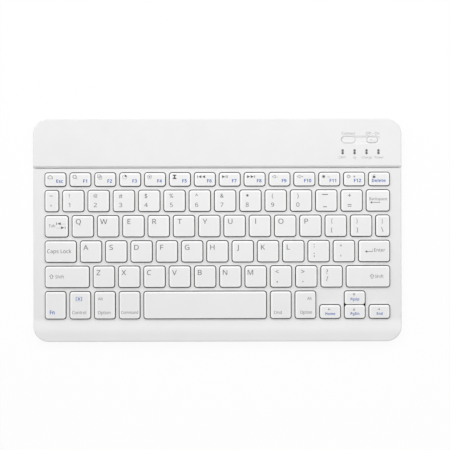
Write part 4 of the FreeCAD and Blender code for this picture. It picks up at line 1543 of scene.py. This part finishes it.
@dataclass
class ChargingSocket:
    """The charging socket: a folded steel shell round a tongue with five contacts.

    Attributes:
        corner: corner radius of the shell.
        skin: thickness of its walls.
        back: thickness of its closed end.
        tongue: width, thickness and length of the tongue.
        tongue_corner: its corner radius.
        tongue_tip: width and height of the slope round its tip.
        tongue_sunk: how far it starts from the outside of the closed end.
        contacts: number of the contacts.
        pitch: their spacing.
        contact: width and thickness of a contact.
        contact_tip: width and height of the slope round its tip.
        contact_ends: how far it stays from the tongue's root and tip.
        mouth_gap: clearance of the mouth in the case round the shell.
        mouth_corner: corner radius of that mouth.
        mouth_over: how far its tool reaches past what it cuts.
    """

    corner: float = 0.45 * MM
    skin: float = 0.25 * MM
    back: float = 0.4 * MM
    tongue: tuple[float, float, float] = (3.7 * MM, 0.6 * MM, 3.6 * MM)
    tongue_corner: float = 0.12 * MM
    tongue_tip: tuple[float, float] = (0.06 * MM, 0.06 * MM)
    tongue_sunk: float = 0.2 * MM
    contacts: int = 5
    pitch: float = 0.65 * MM
    contact: tuple[float, float] = (0.36 * MM, 0.08 * MM)
    contact_tip: tuple[float, float] = (0.05 * MM, 0.03 * MM)
    contact_ends: tuple[float, float] = (0.3 * MM, 0.4 * MM)
    mouth_gap: float = 0.25 * MM
    mouth_corner: float = 0.7 * MM
    mouth_over: float = 2.0 * MM

    def __post_init__(self) -> None:
        """Read the socket's box from the frame, with the way that it faces along Z."""
        self.low, self.high = (Vector((corner.y, corner.z, corner.x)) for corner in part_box("usb_socket"))

    def mouth_tool(self) -> bpy.types.Object:
        """Model the tool that cuts the mouth in the right-hand wall, open down to the parting line.

        Returns:
            The tool.
        """
        low = self.low - Vector((self.mouth_gap, self.mouth_over, 0))
        high = self.high + Vector((self.mouth_gap, self.mouth_gap, self.mouth_over))
        return Bench.plate("mouth_tool", low, high, self.mouth_corner, steps=5).move(ALONG_X).piece

    def tongue_parts(self) -> list[bpy.types.Object]:
        """Model the tongue and its contacts.

        Returns:
            The tongue and the contacts, dressed.
        """
        middle = (self.low + self.high) / 2
        width, thick, length = self.tongue
        root = Vector((middle.x - width / 2, middle.y - thick / 2, self.low.z + self.tongue_sunk))
        tip = root + Vector((width, thick, length))
        tongue = Bench.plate("tongue", root, tip, self.tongue_corner, steps=3)
        parts = [tongue.step_in(*self.tongue_tip).face_out().dress(TONGUE).piece]
        width, thick = self.contact
        size = Vector((width, thick, length - sum(self.contact_ends)))
        for i in range(self.contacts):
            x = middle.x + (i - (self.contacts - 1) / 2) * self.pitch
            place = Vector((x - width / 2, root.y - thick / 2, root.z + self.contact_ends[0]))
            contact = Bench.plate("contact", place, place + size).step_in(*self.contact_tip)
            parts.append(contact.face_out().dress(CONTACT).piece)
        return parts

    def build(self) -> None:
        """Model the socket along Z, turn it to face right and dress it."""
        shell = Bench.plate("charging_socket", self.low, self.high, self.corner, steps=4).step_in(self.skin)
        shell.lift(self.low.z + self.back - self.high.z).face_out().dress(SOCKET)
        piece = joined([shell.piece, *self.tongue_parts()], "charging_socket")
        keep(Bench(piece).move(ALONG_X).smooth(), CASE, "socket_steel", "usb_socket")


@dataclass
class KeyWorks:
    """What folds under each key: its dome, its crossed frames and its bar.

    Attributes:
        places: the places of the keycaps.
        keep_share: not used.
    """

    places: list[KeyPlace]
    keep_share: float = 0.58

    def build(self) -> None:
        """Sort the solids of the works by key, and keep each lot as one piece on the case."""
        kinds = {
            "rubber_domes": ("dome", DOME),
            "scissor_outer_frames": ("outer_frame", SCISSOR),
            "scissor_inner_frames": ("inner_frame", SCISSOR),
            "stabilizer_bars": ("bar", WIRE),
        }
        for node, (kind, finish) in kinds.items():
            lots: dict[str, list[bpy.types.Object]] = {}
            for part in loose_parts(node):
                low, high = extent(part)
                lots.setdefault(self.key_over((low + high) / 2), []).append(part)
            for key, parts in lots.items():
                piece = joined(parts, f"{kind}_{key}")
                Bench(piece).dress(finish).smooth()
                keep(piece, CASE, finish.name, node)
                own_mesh(piece)

    def key_over(self, middle: Vector) -> str:
        """Name the node of the key nearest over a place.

        Args:
            middle: the middle of a solid.

        Returns:
            The name of the key's node.
        """
        nearest = min(self.places, key=lambda place: ((place.low + place.high) / 2 - middle).xy.length)
        inside = [
            place for place in self.places
            if all(place.low[axis] <= middle[axis] <= place.high[axis] for axis in (0, 1))
        ]
        return (inside[0] if inside else nearest).node


class Internals:
    """The pieces inside that keep their shape from the frame, and get their finish here."""

    FINISHES = {
        "key_plate": PLATE,
        "membrane": FILM,
        "tail_pad": PAD,
        "circuit_board": BOARD,
        "board_components": CHIP,
        "battery": FOIL,
        "battery_tape": TAPE,
        "battery_leads": LEAD,
        "connect_switch": SWITCH,
        "power_switch": SWITCH,
    }

    def build(self) -> None:
        """Dress each piece."""
        for node, finish in self.FINISHES.items():
            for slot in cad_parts[node].material_slots:
                slot.material = finish.material()
            LOG.info("%s keeps its shape, in %s", node, finish.name)


@dataclass
class Studio:
    """Floor, world, lamp and camera.

    Attributes:
        view_width: width of the picture at the object.
        lens: the camera's focal length, in millimetres.
        sky: strength of the soft light from all round.
        lean: how much brighter it is towards the rear left, and darker towards the front right.
        rear: share of the light that comes from the soft lamp at the rear.
        roll: how far the camera is turned round its line of sight, in radians.
        aim: what the camera is above, along X and Y.
        lamp_place: where the soft lamp hangs.
        lamp_size: its width and length.
        floor_size: width of the floor.
        floor_white: how white it is.
        floor_glow: share of plain white that the camera sees in it, which lightens the shadow.
        SENSOR: width of the camera's sensor, in millimetres.
        FAR: how far the camera sees, in metres.
    """

    view_width: float = 302.8 * MM
    lens: float = 200.0
    sky: float = 0.61
    lean: tuple[float, float, float] = (-0.35, 0.30, 0.0)
    rear: float = 0.61
    roll: float = -0.0022
    aim: tuple[float, float] = (5.15 * MM, 3.4 * MM)
    lamp_place: tuple[float, float, float] = (0.02, 0.24, 0.42)
    lamp_size: tuple[float, float] = (0.9, 0.3)
    floor_size: float = 6.0
    floor_white: float = 0.92
    floor_glow: float = 0.92

    SENSOR = 36.0
    FAR = 20.0

    def camera(self) -> None:
        """Look straight down from far above, with the rear edge at the top."""
        data = bpy.data.cameras.new("camera")
        data.lens, data.sensor_width, data.clip_end = self.lens, self.SENSOR, self.FAR
        camera = bpy.data.objects.new("camera", data)
        bpy.context.scene.collection.objects.link(camera)
        distance = self.view_width * self.lens / self.SENSOR
        camera.location = (*self.aim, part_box("rear_cover")[1].z + distance)
        camera.rotation_euler.z = self.roll
        bpy.context.scene.camera = camera

    def lamp(self, name: str, place: Vector, size: tuple[float, float], share: float) -> None:
        """Hang a soft lamp that faces the object.

        Args:
            name: its name.
            place: where it hangs.
            size: its width and length.
            share: how bright a level white surface looks in its light alone.
        """
        data = bpy.data.lights.new(name, "AREA")
        data.shape, data.size, data.size_y = "RECTANGLE", *size
        distance = place.length
        data.energy = share * math.pi ** 2 * distance ** 2 / (place.z / distance)
        lamp = bpy.data.objects.new(name, data)
        bpy.context.scene.collection.objects.link(lamp)
        lamp.matrix_world = Matrix.Translation(place) @ place.to_track_quat("Z", "Y").to_matrix().to_4x4()

    def world(self) -> None:
        """Light softly from all round, and show white to the camera and in reflections."""
        world = bpy.data.worlds.new("studio")
        bpy.context.scene.world = world
        world.use_nodes = True
        nodes, links = world.node_tree.nodes, world.node_tree.links
        background = nodes["Background"]
        background.inputs["Color"].default_value = (1, 1, 1, 1)
        path = nodes.new("ShaderNodeLightPath")
        seen = [path.outputs[name] for name in ("Is Camera Ray", "Is Glossy Ray", "Is Transmission Ray")]
        total = seen[0]
        for ray in seen[1:]:
            either = nodes.new("ShaderNodeMath")
            either.operation = "MAXIMUM"
            links.new(total, either.inputs[0])
            links.new(ray, either.inputs[1])
            total = either.outputs[0]
        strength = nodes.new("ShaderNodeMapRange")
        links.new(total, strength.inputs["Value"])
        way = nodes.new("ShaderNodeTexCoord")
        lean = nodes.new("ShaderNodeVectorMath")
        lean.operation = "DOT_PRODUCT"
        lean.inputs[1].default_value = self.lean
        links.new(way.outputs["Generated"], lean.inputs[0])
        sky = nodes.new("ShaderNodeMath")
        sky.operation = "MULTIPLY_ADD"
        sky.inputs[1].default_value = sky.inputs[2].default_value = self.sky
        links.new(lean.outputs["Value"], sky.inputs[0])
        links.new(sky.outputs[0], strength.inputs["To Min"])
        links.new(strength.outputs["Result"], background.inputs["Strength"])

    def floor(self) -> None:
        """Lay a white floor that shows the object's shadow faintly."""
        bpy.ops.object.select_all(action="DESELECT")
        bpy.ops.mesh.primitive_plane_add(size=self.floor_size, location=(0, 0, 0))
        floor = bpy.context.active_object
        floor.name = "floor"
        material = bpy.data.materials.new("floor_white")
        material.use_nodes = True
        nodes, links = material.node_tree.nodes, material.node_tree.links
        shader = nodes["Principled BSDF"]
        shader.inputs["Base Color"].default_value = (*[self.floor_white] * 3, 1)
        shader.inputs["Roughness"].default_value = 0.9
        shader.inputs["Specular IOR Level"].default_value = 0.0
        glow = nodes.new("ShaderNodeEmission")
        path = nodes.new("ShaderNodeLightPath")
        lift = nodes.new("ShaderNodeMapRange")
        lift.inputs["To Max"].default_value = self.floor_glow
        links.new(path.outputs["Is Camera Ray"], lift.inputs["Value"])
        mix = nodes.new("ShaderNodeMixShader")
        links.new(lift.outputs["Result"], mix.inputs["Fac"])
        links.new(shader.outputs["BSDF"], mix.inputs[1])
        links.new(glow.outputs["Emission"], mix.inputs[2])
        links.new(mix.outputs["Shader"], nodes["Material Output"].inputs["Surface"])
        floor.data.materials.append(material)

    def build(self) -> None:
        """Set the stage."""
        bpy.context.scene.view_settings.view_transform = "Standard"
        self.camera()
        self.world()
        self.floor()
        self.lamp("rear_lamp", Vector(self.lamp_place), self.lamp_size, self.rear)


def main() -> None:
    """Build every sub-assembly in order."""
    logging.basicConfig(level=logging.INFO, format="%(message)s")
    places = key_places()
    Studio().build()
    UpperCase(places).build()
    BottomCover().build()
    Keycaps(places).build()
    Controls().build()
    ChargingSocket().build()
    Feet().build()
    Screws().build()
    KeyWorks(places).build()
    Internals().build()


if __name__ == "__main__":
    main()
